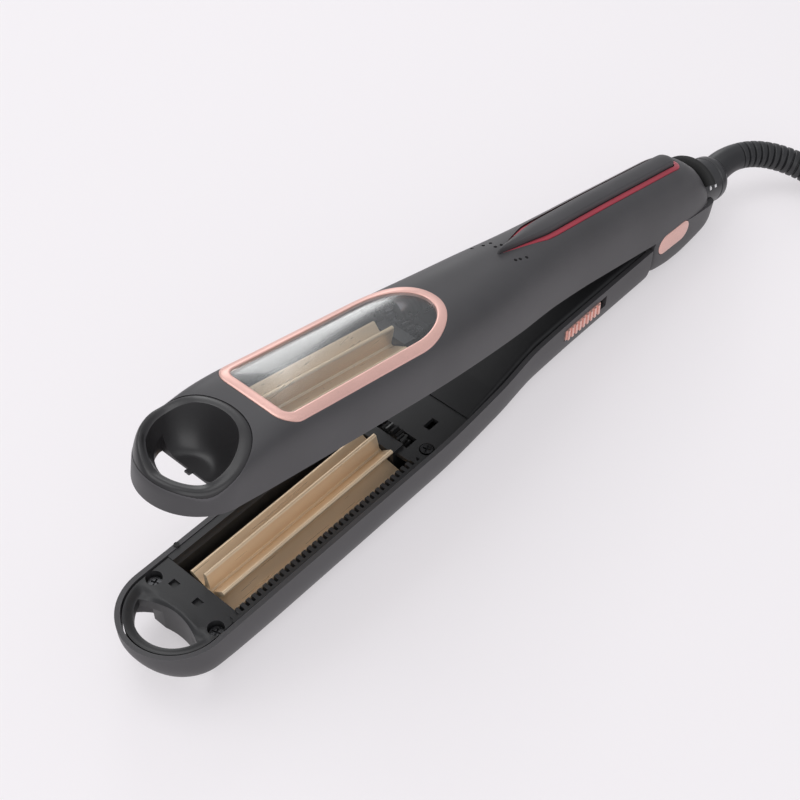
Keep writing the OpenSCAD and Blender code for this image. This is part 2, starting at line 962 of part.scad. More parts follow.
module upper_gearmotor() {
    color([0.62, 0.62, 0.64])
        in_upper()
            gearmotor(pinion_y, upper_axis_z + pinion_rise);
}

module control_board() {
    color([0.1, 0.32, 0.2])
        in_upper()
            union() {
                box([-100, -56], [-10, 10], [33, 34.6]);
                box([-96, -84], [-7, 7], [34.6, 39]);
                box([-80, -72], [-8, 0], [34.6, 41]);
                translate([-63, 4, 34.6])
                    cylinder(r = 4, h = 9);
            }
}

module power_leads() {
    color([0.3, 0.12, 0.1])
        in_upper()
            for (y = [-1.6, 1.6])
                along_x(-55.5, y, 37)
                    cylinder(r = 1, h = 80);
}

module hinge_pin() {
    color([0.7, 0.7, 0.72])
        in_upper()
            translate([0, handle_r - 1.4, parting_z])
                rotate([90, 0, 0])
                    cylinder(r = pin_r, h = 2 * (handle_r - 1.4));
}

module hinge_caps() {
    color([0.88, 0.65, 0.6])
        in_upper()
            both_sides()
                translate([cap_x, handle_r - 0.95, cap_z])
                    rotate([-90, 0, 0])
                        rotate([0, 0, cap_tilt])
                            linear_extrude(height = 1.3)
                                long_oval(cap_half, cap_r);
}

// The compression spring that pushes the arms apart. The wire is round in the spring's own
// radial section, so its outline in plan is stretched along the turn.
module opening_spring() {
    coil_r = 3.6;
    wire_r = 0.5;
    base_z = 5.6;
    free_len = 28;
    turns = 7;
    pitch = free_len / turns;
    color([0.75, 0.75, 0.77])
        in_lower()
            translate([spring_x, 0, base_z])
                linear_extrude(height = free_len, twist = -360 * turns, slices = turns * 14)
                    polygon([for (a = [0 : 36 : 324])
                        let (r = coil_r + wire_r * cos(a), turn = 360 * wire_r * sin(a) / pitch)
                        [r * cos(turn), r * sin(turn)]]);
}

// --- Tail and cord ---------------------------------------------------------

module tail_collar() {
    color([0.12, 0.12, 0.13])
        in_upper()
            difference() {
                along_x(collar_x, 0, tail_z)
                    cylinder(r = collar_r, h = collar_end_x - collar_x);
                along_x(collar_x - 1, 0, tail_z)
                    cylinder(r = 8.1, h = 19);
                along_x(collar_x, 0, tail_z)
                    cylinder(r = swivel_r + fit, h = 40);
                box([lock_x - 2, lock_x + lock_len + lock_travel + 1], [-1.6, 1.6], [tail_z + 8, tail_z + 12]);
            }
}

module lock_slider() {
    grip_r = collar_r + 1.7;
    color([0.05, 0.05, 0.06])
        in_upper()
            difference() {
                union() {
                    intersection() {
                        along_x(lock_x, 0, tail_z)
                            union() {
                                cylinder(r = grip_r, h = lock_len);
                                translate([0, 0, 2])
                                    cylinder(r = grip_r + 1.5, h = 2);
                            }
                        box([0, 100], [-20, 20], [tail_z + 4, 60]);
                    }
                    box([lock_x + 1, lock_x + lock_len - 1], [-1.4, 1.4], [tail_z + 8.6, tail_z + 11]);
                }
                difference() {
                    along_x(0, 0, tail_z)
                        cylinder(r = collar_r + fit, h = 100);
                    box([0, 100], [-1.4, 1.4], [tail_z + 8.6, 60]);
                }
            }
}

module cord_swivel() {
    color([0.1, 0.1, 0.11])
        in_upper()
            difference() {
                union() {
                    along_x(collar_x + 8, 0, tail_z)
                        cylinder(r = 7.8, h = 9.8);
                    along_x(collar_x + 10, 0, tail_z)
                        cylinder(r = swivel_r, h = collar_end_x - collar_x - 9.8);
                }
                along_x(collar_x, 0, tail_z)
                    cylinder(r = cord_r, h = 60);
            }
}

// The guard's centre line: it leaves the tail high, comes down to the table and bends to one side.
function guard_point(t) = [
    hinge_x + guard_x + 0.6 + guard_radius * sin(t * guard_bend),
    -guard_radius * (1 - cos(t * guard_bend)),
    guard_r + 0.2 + (guard_z - guard_r - 0.2) * (1 + cos(180 * t)) / 2
];

// The guard is moulded round the cord: a plain cone, then ribs.
module cord_guard() {
    steps = 12;
    ribs = 16;
    color([0.11, 0.11, 0.12])
        union() {
            for (i = [0 : steps - 1])
                hull() {
                    guard_disc(i / steps, guard_r - 1, 0.4, 16);
                    guard_disc((i + 1) / steps, guard_r - 1, 0.4, 16);
                }
            hull() {
                guard_disc(0, guard_r + 0.9, 0.6, 24);
                guard_disc(0.2, guard_r, 0.6, 24);
            }
            for (i = [0 : ribs - 1])
                guard_disc(0.24 + 0.75 * i / (ribs - 1), guard_r, 1.9, 16);
        }
}

// A disc across the guard at the fraction t of its length.
module guard_disc(t, r, thick, sides) {
    tilt = open_deg * (1 - t);
    translate(guard_point(t))
        rotate([0, 0, -t * guard_bend])
            rotate([0, 90 + tilt, 0])
                cylinder(r = r, h = thick, $fn = sides, center = true);
}

// The cord's centre line: it runs straight on from the guard along the table.
function cord_point(t) =
    let (tail = guard_point(1))
    [tail[0] + t * cord_len * cos(guard_bend), tail[1] - t * cord_len * sin(guard_bend), tail[2]];

module power_cord() {
    color([0.1, 0.1, 0.11])
        translate(cord_point(0))
            rotate([0, 0, -guard_bend])
                rotate([0, 90, 0])
                    translate([0, 0, 0.5])
                        cylinder(r = cord_r, h = cord_len - 0.5 - fit);
}

module at_plug() {
    translate(cord_point(1))
        rotate([0, 0, -guard_bend])
            children();
}

// Where the pins leave the plug, facing along them.
module at_plug_pins() {
    for (y = [-plug_pin_gap / 2, plug_pin_gap / 2])
        translate([plug_len, y, 0])
            rotate([0, 90, 0])
                children();
}

module plug_body() {
    color([0.1, 0.1, 0.11])
        at_plug()
            difference() {
                hull() {
                    rotate([0, 90, 0])
                        cylinder(r = 5, h = 2);
                    for (y = [-9.5, 9.5])
                        translate([14, y, 0])
                            rotate([0, 90, 0])
                                cylinder(r = 6, h = plug_len - 14);
                }
                at_plug_pins()
                    translate([0, 0, -plug_pin_hold])
                        cylinder(r = plug_pin_r - 0.5, h = 2 * plug_pin_hold);
            }
}

module plug_pins() {
    color([0.78, 0.77, 0.72])
        at_plug()
            at_plug_pins() {
                cylinder(r = plug_pin_r, h = 19);
                translate([0, 0, -plug_pin_hold])
                    cylinder(r = plug_pin_r - 0.5, h = plug_pin_hold + 1);
            }
}

// --- Which piece to draw ---------------------------------------------------

lower_shell();
nose_plate();
side_rail();
comb_rail();
bearing_plate();
handle_cover();
hinge_knuckle();
stop_bumper();
plate_screws();
lower_bushes();
lower_heater();
lower_gearmotor();
switch_body();
switch_knob();
lower_roller();
lower_roller_gear();
lower_pinion();
upper_shell();
upper_base();
hinge_housing();
tip_dish();
window_bezel();
window_lens();
top_panel();
trim_strips();
vent_grille();
base_screws();
upper_frame();
upper_bushes();
upper_heater();
upper_gearmotor();
control_board();
power_leads();
hinge_pin();
hinge_caps();
opening_spring();
tail_collar();
upper_roller();
upper_roller_gear();
upper_pinion();
lock_slider();
cord_swivel();
cord_guard();
power_cord();
plug_body();
plug_pins();
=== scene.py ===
"""Hair crimper: the visible surfaces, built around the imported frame.

Shapes are worked out in millimetres in the closed tool's own frame, with the hinge axis at x = 0,
the tips towards -x and the table at z = 0. LOWER and UPPER then place them in the scene.
"""
import json
import math

import bmesh
import bpy
from mathutils import Matrix, Vector


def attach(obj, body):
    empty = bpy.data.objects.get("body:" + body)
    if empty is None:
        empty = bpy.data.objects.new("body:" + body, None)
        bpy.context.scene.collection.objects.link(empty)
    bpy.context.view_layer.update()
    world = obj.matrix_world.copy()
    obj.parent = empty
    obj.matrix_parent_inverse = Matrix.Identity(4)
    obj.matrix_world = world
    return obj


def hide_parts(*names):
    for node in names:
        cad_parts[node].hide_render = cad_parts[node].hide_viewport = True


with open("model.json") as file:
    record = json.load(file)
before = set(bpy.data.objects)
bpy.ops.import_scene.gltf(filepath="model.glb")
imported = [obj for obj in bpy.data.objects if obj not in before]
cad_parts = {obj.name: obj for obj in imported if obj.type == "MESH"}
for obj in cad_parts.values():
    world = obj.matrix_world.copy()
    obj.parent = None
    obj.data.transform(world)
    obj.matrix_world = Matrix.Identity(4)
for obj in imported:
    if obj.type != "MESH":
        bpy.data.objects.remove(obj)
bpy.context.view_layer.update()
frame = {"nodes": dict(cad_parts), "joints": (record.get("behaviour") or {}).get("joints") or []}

# ---------------------------------------------------------------------------
# Placing
# ---------------------------------------------------------------------------

HINGE = next(joint for joint in frame["joints"] if joint["name"] == "arm_hinge")
HINGE_POS = Vector(HINGE["pos_m"])
OPEN_ANGLE = -math.radians(HINGE["range_deg"][0])
MM = Matrix.Scale(0.001, 4)
TILT = (
    Matrix.Translation(HINGE_POS)
    @ Matrix.Rotation(OPEN_ANGLE, 4, "Y")
    @ Matrix.Translation((0, 0, -HINGE_POS.z))
)
LOWER = Matrix.Translation((HINGE_POS.x, 0, 0)) @ MM
UPPER = TILT @ MM
PARTING_Z = HINGE_POS.z * 1000
RIM_GAP = 0.3

# ---------------------------------------------------------------------------
# Curves and outlines
# ---------------------------------------------------------------------------


def smooth_curve(points):
    """A smooth function through the points that never overshoots them."""
    xs = [p[0] for p in points]
    ys = [p[1] for p in points]
    count = len(points)
    steps = [(ys[i + 1] - ys[i]) / (xs[i + 1] - xs[i]) for i in range(count - 1)]
    slopes = [steps[0]]
    for before, after in zip(steps, steps[1:]):
        flat = before * after <= 0
        slopes.append(0 if flat else 2 * before * after / (before + after))
    slopes.append(steps[-1])

    def value(x):
        if x <= xs[0]:
            return ys[0]
        if x >= xs[-1]:
            return ys[-1]
        i = max(k for k in range(count - 1) if xs[k] <= x)
        width = xs[i + 1] - xs[i]
        t = (x - xs[i]) / width
        rise = ys[i + 1] - ys[i]
        start = slopes[i] * width
        end = slopes[i + 1] * width
        cubic = start + end - 2 * rise
        square = 3 * rise - 2 * start - end
        return ys[i] + t * (start + t * (square + t * cubic))

    return value


def spaced(start, stop, count):
    """count + 1 evenly spaced numbers from start to stop."""
    return [start + (stop - start) * i / count for i in range(count + 1)]


def arc(cx, cy, r, start, stop, count):
    """Points on an arc, with its angles in degrees."""
    return [
        (cx + r * math.cos(math.radians(a)), cy + r * math.sin(math.radians(a)))
        for a in spaced(start, stop, count)
    ]


def soft(t):
    """Goes smoothly from 0 to 1 as t goes from 0 to 1."""
    t = min(max(t, 0), 1)
    return t * t * (3 - 2 * t)


# ---------------------------------------------------------------------------
# The two arms' outer surfaces
# ---------------------------------------------------------------------------


class Arm:
    """An arm's casing: a rounded section drawn along x, ending in a half-round tip."""

    def __init__(self, arch_x, rear_x, open_z, half, face, power):
        self.arch_x = arch_x
        self.rear_x = rear_x
        self.open_z = open_z
        self.half = half
        self.face = face
        self.power = power

    def height(self, x, y, inset=0):
        """Height of the outer face above or below the point (x, y)."""
        spine_x = max(x, self.arch_x)
        ratio = math.hypot(x - spine_x, y) / (self.half(spine_x) - inset)
        power = self.power(spine_x)
        rise = (1 - min(ratio, 1) ** power) ** (1 / power)
        toward = 1 if self.face(x) > self.open_z else -1
        return self.open_z + (self.face(x) - toward * inset - self.open_z) * rise

    def rays(self, straight=110, tip=44):
        """Spine position and direction of each line from the spine to the outline."""
        along = spaced(self.rear_x, self.arch_x, straight)
        right = [(x, -90) for x in along]
        around = [(self.arch_x, a) for a in spaced(-90, -270, tip)[1:-1]]
        left = [(x, -270) for x in reversed(along)]
        return right + around + left

    def ray_points(self, spine_x, direction, inset, base_z, turns):
        """Points up one ray from the open edge to the spine."""
        across = Vector((math.cos(math.radians(direction)), math.sin(math.radians(direction))))
        half = self.half(spine_x) - inset
        power = self.power(spine_x)
        toward = 1 if self.face(spine_x) > self.open_z else -1
        points = []
        for turn in turns:
            out = half * math.cos(turn) ** (2 / power)
            x = spine_x + across.x * out
            face = self.face(x) - toward * inset
            z = base_z + (face - base_z) * math.sin(turn) ** (2 / power)
            points.append((x, across.y * out, z))
        return points


LOWER_ARM = Arm(
    arch_x=-279.3,
    rear_x=-13.5,
    open_z=PARTING_Z - RIM_GAP,
    half=smooth_curve([(-280, 21.7), (-165, 21.7), (-123, 19.4), (-92, 16), (-60, 15.5), (-13, 15.5)]),
    face=smooth_curve([(-301, 11.5), (-298, 8), (-292, 4.8), (-282, 2.2), (-268, 0.6), (-250, 0), (-13, 0)]),
    power=smooth_curve([(-301, 3.9), (-230, 3.8), (-165, 3.6), (-90, 3.2), (-13, 3.2)]),
)
UPPER_ARM = Arm(
    arch_x=-268.1,
    rear_x=31.5,
    open_z=PARTING_Z + RIM_GAP,
    half=smooth_curve([
        (-268, 20.9), (-250, 21.4), (-200, 21.8), (-180, 21.8), (-165, 21.6), (-144, 20.9), (-116, 19.2), (-86, 16.4),
        (-60, 15.6), (-13, 15.5), (4, 15.5), (18, 15), (26, 14.3), (31.5, 13.4),
    ]),
    face=smooth_curve([
        (-289, 35), (-280, 37.4), (-267, 41), (-254, 43.8), (-240, 44.9), (-180, 45.5),
        (-144, 46.3), (-116, 48), (-86, 49.6), (-40, 50.4), (4, 50.4), (16, 48.8),
        (22, 46.2), (27, 42.2), (31.5, 37.5),
    ]),
    power=smooth_curve([(-289, 6.5), (-255, 6.5), (-225, 5.2), (-180, 4.4), (-140, 3.6), (-100, 3.0), (-60, 2.9), (31, 2.7)]),
)

# ---------------------------------------------------------------------------
# Mesh tools
# ---------------------------------------------------------------------------

WELD = 0.004


def join_rows(bm, rows, wrap=False):
    """Joins rows of points with four-sided faces and returns the rows of vertices."""
    grid = [[bm.verts.new(point) for point in row] for row in rows]
    count = len(grid)
    for i in range(count if wrap else count - 1):
        row = grid[i]
        after = grid[(i + 1) % count]
        for k in range(len(row) - 1):
            bm.faces.new((row[k], row[k + 1], after[k + 1], after[k]))
    return grid


def to_object(name, bm):
    """A linked object, still in millimetres, from a welded and tidied mesh."""
    bmesh.ops.remove_doubles(bm, verts=bm.verts, dist=WELD)
    bmesh.ops.dissolve_degenerate(bm, edges=bm.edges, dist=WELD)
    bmesh.ops.delete(bm, geom=[edge for edge in bm.edges if not edge.link_faces], context="EDGES")
    bmesh.ops.recalc_face_normals(bm, faces=bm.faces)
    mesh = bpy.data.meshes.new(name)
    bm.to_mesh(mesh)
    bm.free()
    piece = bpy.data.objects.new(name, mesh)
    bpy.context.scene.collection.objects.link(piece)
    return piece


def bake(piece):
    """Applies the piece's modifiers to its mesh."""
    bpy.context.view_layer.update()
    seen = piece.evaluated_get(bpy.context.evaluated_depsgraph_get())
    mesh = bpy.data.meshes.new_from_object(seen)
    piece.modifiers.clear()
    piece.data = mesh


def combine(piece, cutters, operation="DIFFERENCE"):
    """Cuts or joins the piece with the other objects, which are used up."""
    for cutter in cutters:
        change = piece.modifiers.new("combine", "BOOLEAN")
        change.object = cutter
        change.operation = operation
        change.solver = "MANIFOLD"
    bake(piece)
    for cutter in cutters:
        bpy.data.objects.remove(cutter, do_unlink=True)
    return piece


def prism(outline, low, high):
    """A solid with the given plan outline between two heights."""
    bm = bmesh.new()
    bottom = [bm.verts.new((x, y, low)) for x, y in outline]
    top = [bm.verts.new((x, y, high)) for x, y in outline]
    count = len(outline)
    for i in range(count):
        after = (i + 1) % count
        bm.faces.new((bottom[i], bottom[after], top[after], top[i]))
    bm.faces.new(bottom)
    bm.faces.new(top)
    return to_object("cutter", bm)


def block(x, y, z):
    return prism([(x[0], y[0]), (x[1], y[0]), (x[1], y[1]), (x[0], y[1])], z[0], z[1])


def disc(cx, cy, r, low, high):
    return prism(arc(cx, cy, r, 0, 352.5, 47), low, high)


def round_edges(piece, width, angle=40, segments=2):
    """Rounds the sharp edges a little, so that they catch the light."""
    change = piece.modifiers.new("edges", "BEVEL")
    change.width = width
    change.segments = segments
    change.limit_method = "ANGLE"
    change.angle_limit = math.radians(angle)
    change.use_clamp_overlap = True
    change.harden_normals = False
    return change


def finish_piece(piece, place, body, material, replaced=(), crease=38):
    """Moves a piece from millimetres into the scene and ties it to its body."""
    piece.data.transform(place)
    piece.data.shade_smooth()
    piece.data.set_sharp_from_angle(angle=math.radians(crease))
    piece.data.materials.clear()
    piece.data.materials.append(material)
    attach(piece, body)
    if replaced:
        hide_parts(*replaced)
    return piece


# ---------------------------------------------------------------------------
# Materials
# ---------------------------------------------------------------------------


class Nodes:
    """A short way to write a material's node tree."""

    def __init__(self, name):
        self.material = bpy.data.materials.new(name)
        self.material.use_nodes = True
        self.tree = self.material.node_tree
        self.tree.nodes.clear()
        self.output = self.add("ShaderNodeOutputMaterial")
        self.coords = self.add("ShaderNodeTexCoord").outputs["Object"]

    def add(self, kind, **settings):
        node = self.tree.nodes.new(kind)
        for key, value in settings.items():
            setattr(node, key, value)
        return node

    def put(self, socket, value):
        """Links a socket to another node's output, or sets its value."""
        if isinstance(value, bpy.types.NodeSocket):
            self.tree.links.new(value, socket)
        else:
            socket.default_value = value

    def noise(self, scale, detail=4, stretch=None):
        coords = self.coords
        if stretch:
            mapping = self.add("ShaderNodeMapping")
            self.put(mapping.inputs["Vector"], coords)
            mapping.inputs["Scale"].default_value = stretch
            coords = mapping.outputs["Vector"]
        node = self.add("ShaderNodeTexNoise")
        self.put(node.inputs["Vector"], coords)
        node.inputs["Scale"].default_value = scale
        node.inputs["Detail"].default_value = detail
        return node.outputs["Fac"]

    def remap(self, value, low, high, start=0.0, end=1.0):
        node = self.add("ShaderNodeMapRange")
        self.put(node.inputs["Value"], value)
        node.inputs["From Min"].default_value = start
        node.inputs["From Max"].default_value = end
        node.inputs["To Min"].default_value = low
        node.inputs["To Max"].default_value = high
        return node.outputs["Result"]

    def mix(self, factor, first, second):
        node = self.add("ShaderNodeMix", data_type="RGBA")
        self.put(node.inputs["Factor"], factor)
        self.put(node.inputs["A"], first)
        self.put(node.inputs["B"], second)
        return node.outputs["Result"]

    def bump(self, height, distance, strength=1.0, normal=None):
        node = self.add("ShaderNodeBump")
        node.inputs["Distance"].default_value = distance
        node.inputs["Strength"].default_value = strength
        self.put(node.inputs["Height"], height)
        if normal:
            self.put(node.inputs["Normal"], normal)
        return node.outputs["Normal"]

    def edges(self, width=0.0006, low=0.02, high=0.25):
        """1 on edges, where the painted highlight goes, 0 elsewhere."""
        bevel = self.add("ShaderNodeBevel", samples=4)
        bevel.inputs["Radius"].default_value = width
        geometry = self.add("ShaderNodeNewGeometry")
        dot = self.add("ShaderNodeVectorMath", operation="DOT_PRODUCT")
        self.put(dot.inputs[0], bevel.outputs["Normal"])
        self.put(dot.inputs[1], geometry.outputs["Normal"])
        return self.remap(dot.outputs["Value"], 1.0, 0.0, 1 - high, 1 - low)

    def shader(self, **inputs):
        node = self.add("ShaderNodeBsdfPrincipled")
        for key, value in inputs.items():
            self.put(node.inputs[key.replace("_", " ")], value)
        self.put(self.output.inputs["Surface"], node.outputs["BSDF"])
        return self.material


def shade(color, factor):
    return tuple(min(channel * factor, 1) for channel in color[:3]) + (1,)


def moulded(name, color, roughness, grain=0.00002, edge_highlight_gain=1.5):
    """Moulded plastic: fine spark grain, slight mottling and a painted highlight that makes the edges paler."""
    n = Nodes(name)
    mottle = n.remap(n.noise(35, 5), 0, 1, 0.35, 0.65)
    tone = n.mix(mottle, shade(color, 0.92), shade(color, 1.08))
    # painted highlight: the colour is made paler along the edges
    tone = n.mix(n.edges(), tone, shade(color, edge_highlight_gain))
    fine = n.noise(2600, 2)
    smears = n.noise(14, 3)
    rough = n.remap(smears, roughness - 0.05, roughness + 0.05, 0.3, 0.7)
    normal = n.bump(fine, grain, 0.5)
    return n.shader(Base_Color=tone, Roughness=rough, Normal=normal)


def metallic_paint(name, color, roughness=0.34, metallic=0.55):
    """Vacuum-metallised plastic, as on the coloured trim."""
    n = Nodes(name)
    flakes = n.remap(n.noise(5200, 1), 0.9, 1.1, 0.3, 0.7)
    scale = n.add("ShaderNodeVectorMath", operation="SCALE")
    base = n.mix(n.remap(n.noise(40, 3), 0, 1, 0.35, 0.65), shade(color, 0.95), shade(color, 1.05))
    n.put(scale.inputs[0], base)
    n.put(scale.inputs["Scale"], flakes)
    normal = n.bump(n.noise(900, 3), 0.00001, 0.4)
    # painted highlight: the trim's colour is made paler along the edges
    tone = n.mix(n.edges(0.0005), scale.outputs["Vector"], shade(color, 1.2))
    rough = n.remap(n.noise(25, 4), roughness - 0.06, roughness + 0.06, 0.3, 0.7)
    return n.shader(Base_Color=tone, Roughness=rough, Metallic=metallic, Normal=normal)


def coated_roller(name, color):
    """Extruded aluminium with a champagne ceramic coat: draw lines along its length."""
    n = Nodes(name)
    lines = n.noise(900, 3, stretch=(0.03, 1, 1))
    broad = n.noise(60, 3, stretch=(0.2, 1, 1))
    tone = n.mix(n.remap(broad, 0, 1, 0.3, 0.7), shade(color, 0.9), shade(color, 1.1))
    # painted highlight: the coat is made paler along the lobe edges
    tone = n.mix(n.edges(0.0007), tone, shade(color, 1.35))
    rough = n.remap(lines, 0.26, 0.42, 0.3, 0.7)
    normal = n.bump(lines, 0.000008, 0.4)
    return n.shader(Base_Color=tone, Roughness=rough, Metallic=0.5, Normal=normal)


def turned_metal(name, color, roughness=0.3):
    """Turned or drawn metal with fine tool marks."""
    n = Nodes(name)
    marks = n.noise(1400, 2, stretch=(1, 0.08, 0.08))
    tone = n.mix(n.remap(marks, 0, 1, 0.3, 0.7), shade(color, 0.85), shade(color, 1.1))
    rough = n.remap(n.noise(200, 4), roughness - 0.08, roughness + 0.1, 0.3, 0.7)
    return n.shader(Base_Color=tone, Roughness=rough, Metallic=1.0, Normal=n.bump(marks, 0.00001, 0.5))


def clear_lens(name):
    """A clear moulded cover: mostly seen through, mirror-like where it turns away."""
    n = Nodes(name)
    normal = n.bump(n.noise(28, 2), 0.0002, 0.25)
    facing = n.add("ShaderNodeLayerWeight")
    facing.inputs["Blend"].default_value = 0.5
    n.put(facing.inputs["Normal"], normal)
    grazing = n.add("ShaderNodeMath", operation="POWER")
    n.put(grazing.inputs[0], facing.outputs["Facing"])
    grazing.inputs[1].default_value = 4
    through = n.add("ShaderNodeBsdfTransparent")
    through.inputs["Color"].default_value = (0.93, 0.94, 0.94, 1)
    mirror = n.add("ShaderNodeBsdfGlossy")
    mirror.inputs["Color"].default_value = (1, 1, 1, 1)
    n.put(mirror.inputs["Roughness"], n.remap(n.noise(400, 2), 0.12, 0.2))
    n.put(mirror.inputs["Normal"], normal)
    both = n.add("ShaderNodeMixShader")
    n.put(both.inputs[0], n.remap(grazing.outputs["Value"], 0.07, 1.0))
    n.put(both.inputs[1], through.outputs["BSDF"])
    n.put(both.inputs[2], mirror.outputs["BSDF"])
    n.put(n.output.inputs["Surface"], both.outputs["Shader"])
    return n.material


CASING = moulded("matt_casing", (0.050, 0.048, 0.051), 0.47)
INNER = moulded("inner_frame", (0.017, 0.017, 0.018), 0.42)
DISH = moulded("dish_plastic", (0.020, 0.019, 0.020), 0.36)
VENT = moulded("vent_black", (0.004, 0.004, 0.004), 0.6)
TAIL = moulded("tail_plastic", (0.022, 0.022, 0.024), 0.34)
VINYL = moulded("cord_vinyl", (0.019, 0.019, 0.021), 0.42, grain=0.00004)
RUBBER = moulded("bumper_rubber", (0.01, 0.01, 0.01), 0.7)
ROSE = metallic_paint("rose_gold_trim", (0.80, 0.49, 0.43), 0.36, 0.45)
RED = metallic_paint("red_foil", (0.42, 0.05, 0.075), 0.34, 0.4)
GOLD = coated_roller("champagne_coat", (0.80, 0.62, 0.43))
STEEL = turned_metal("drawn_steel", (0.5, 0.5, 0.52))
NICKEL = turned_metal("nickel_plate", (0.72, 0.7, 0.66), 0.22)
BLACK_OXIDE = turned_metal("black_oxide", (0.03, 0.03, 0.032), 0.32)
DARK_STEEL = turned_metal("screw_steel", (0.12, 0.12, 0.125), 0.28)
NYLON = moulded("black_nylon", (0.012, 0.012, 0.012), 0.4)
BOARD = moulded("circuit_board", (0.02, 0.10, 0.045), 0.35)
LEADS = moulded("lead_insulation", (0.12, 0.01, 0.01), 0.45)
WHITE = moulded("white_mark", (0.75, 0.75, 0.75), 0.5)
LENS = clear_lens("clear_cover")

# ---------------------------------------------------------------------------
# Solids of the two arms
# ---------------------------------------------------------------------------

WALL = 2.0
FINE_TURNS = [math.radians(a) for a in (0, 2, 5, 9, 14, 20, 27, 34, 41, 48, 55, 62, 68, 74, 79, 83, 86, 88.5, 90)]


def arm_solid(arm, inset=0.0, lid=0.0, rear_x=None):
    """The arm's whole volume, shrunk by inset, with its flat side moved out by lid."""
    toward = 1 if arm.face(arm.rear_x) > arm.open_z else -1
    base_z = arm.open_z - toward * lid
    bm = bmesh.new()
    rows = []
    for spine_x, direction in arm.rays():
        if rear_x is not None:
            spine_x = min(spine_x, rear_x)
        rows.append([(spine_x, 0, base_z)] + arm.ray_points(spine_x, direction, inset, base_z, FINE_TURNS))
    grid = join_rows(bm, rows)
    bm.faces.new(grid[0] + grid[-1][::-1])
    return to_object("arm", bm)


def rim_outline(arm, inset, rear_x):
    """The arm's outline in plan, shrunk by inset and cut off at rear_x."""
    points = []
    for spine_x, direction in arm.rays(60, 44):
        spine_x = min(spine_x, rear_x)
        angle = math.radians(direction)
        half = arm.half(spine_x) - inset
        point = (spine_x + half * math.cos(angle), half * math.sin(angle))
        if not points or math.dist(point, points[-1]) > 0.05:
            points.append(point)
    return points


def tip_opening(arch_x, r, low, high, flat=2.0):
    """The D-shaped hole through a tip, with its straight side towards the hinge."""
    turn = math.degrees(math.acos(flat / r))
    return prism(arc(arch_x, 0, r, 180 - turn, 180 + turn, 40), low, high)


def window_outline(inset):
    """The window in plan: small corners at the front, one long rounded end at the rear."""
    front, half, nose, corner = -246.2, 18.6, 27, 7.5
    rear = -150.6 - nose
    side = half - corner
    small = corner - inset
    end = [
        (rear + (nose - inset) * math.cos(math.radians(a)), (half - inset) * math.sin(math.radians(a)))
        for a in spaced(-90, 90, 48)
    ]
    return (
        arc(front + corner, side, small, 90, 180, 10)
        + arc(front + corner, -side, small, 180, 270, 10)
        + end
    )


def matched(outer, inner, step=3.0):
    """Adds points to two matching closed outlines until no stretch is much longer than step."""
    pairs = []
    for i, (start, inside) in enumerate(zip(outer, inner)):
        after = (i + 1) % len(outer)
        count = max(1, round(math.dist(start, outer[after]) / step))
        for k in range(count):
            t = k / count
            pairs.append((
                [a + (b - a) * t for a, b in zip(start, outer[after])],
                [a + (b - a) * t for a, b in zip(inside, inner[after])],
            ))
    return pairs


def surface_band(arm, outer, inner, above, below, sunk=0.0, tilt=0.0):
    """A ring on the arm's face between two matching outlines, sunk more and more across by tilt."""
    profile = ((0, -below), (0, 0.4), (0.06, 0.75), (0.2, 0.95), (0.5, 1), (0.8, 0.95), (0.94, 0.75), (1, 0.4))
    bm = bmesh.new()
    rows = []
    for (ox, oy), (ix, iy) in matched(outer, inner):
        row = []
        for t, lift in profile + ((1, -below),):
            x = ox + (ix - ox) * t
            y = oy + (iy - oy) * t
            z = arm.height(x, y) - sunk - tilt * y
            row.append((x, y, z + (lift if lift < 0 else lift * above)))
        row.append(row[0])
        rows.append(row)
    join_rows(bm, rows, wrap=True)
    return to_object("band", bm)


def surface_sheet(arm, outline, centre_y, above, below, bulge=0.0):
    """A closed sheet on the arm's face inside an outline, with a rounded edge and a bulge."""
    half = (max(y for x, y in outline) - min(y for x, y in outline)) / 2
    low = min(x for x, y in outline) + half
    high = max(x for x, y in outline) - half
    spine = [(min(max(x, low), high), centre_y) for x, y in outline]
    bm = bmesh.new()
    rows = []
    for (ox, oy), (sx, sy) in matched(outline, spine):
        top = []
        bottom = []
        for t in (0, 0.02, 0.06, 0.12, 0.2, 0.3, 0.42, 0.56, 0.7, 0.85, 1):
            x = ox + (sx - ox) * t
            y = oy + (sy - oy) * t
            z = arm.height(x, y)
            edge = 1 - (1 - min(t / 0.2, 1)) ** 2
            top.append((x, y, z + above * edge + bulge * (1 - (1 - t) ** 2)))
            bottom.append((x, y, z - below))
        rows.append(bottom[::-1] + top)
    join_rows(bm, rows, wrap=True)
    return to_object("sheet", bm)


def lathe(profile, start=0.0, stop=360.0, count=72):
    """Turns a closed outline of (x, radius) points about the X axis, from straight up."""
    whole = stop - start >= 360
    angles = spaced(start, stop, count)
    if whole:
        angles = angles[:-1]
    bm = bmesh.new()
    rows = []
    for a in angles:
        side = math.sin(math.radians(a))
        up = math.cos(math.radians(a))
        row = [(x, r * side, r * up) for x, r in profile]
        rows.append(row + [row[0]])
    grid = join_rows(bm, rows, wrap=whole)
    if not whole:
        bm.faces.new(grid[0][:-1])
        bm.faces.new(grid[-1][:-1])
    return to_object("turned", bm)


def tube(centres, radii, sides=32):
    """A closed tube through centre points, each with its own radius."""
    bm = bmesh.new()
    rows = []
    count = len(centres)
    for i, (centre, r) in enumerate(zip(centres, radii)):
        ahead = Vector(centres[min(i + 1, count - 1)]) - Vector(centres[max(i - 1, 0)])
        across = ahead.cross(Vector((0, 0, 1))).normalized()
        up = across.cross(ahead).normalized()
        row = []
        for a in spaced(0, 360, sides):
            offset = across * math.cos(math.radians(a)) + up * math.sin(math.radians(a))
            row.append(Vector(centre) + offset * r)
        rows.append(row)
    grid = join_rows(bm, rows)
    bm.faces.new(grid[0][:-1])
    bm.faces.new(grid[-1][:-1])
    return to_object("tube", bm)


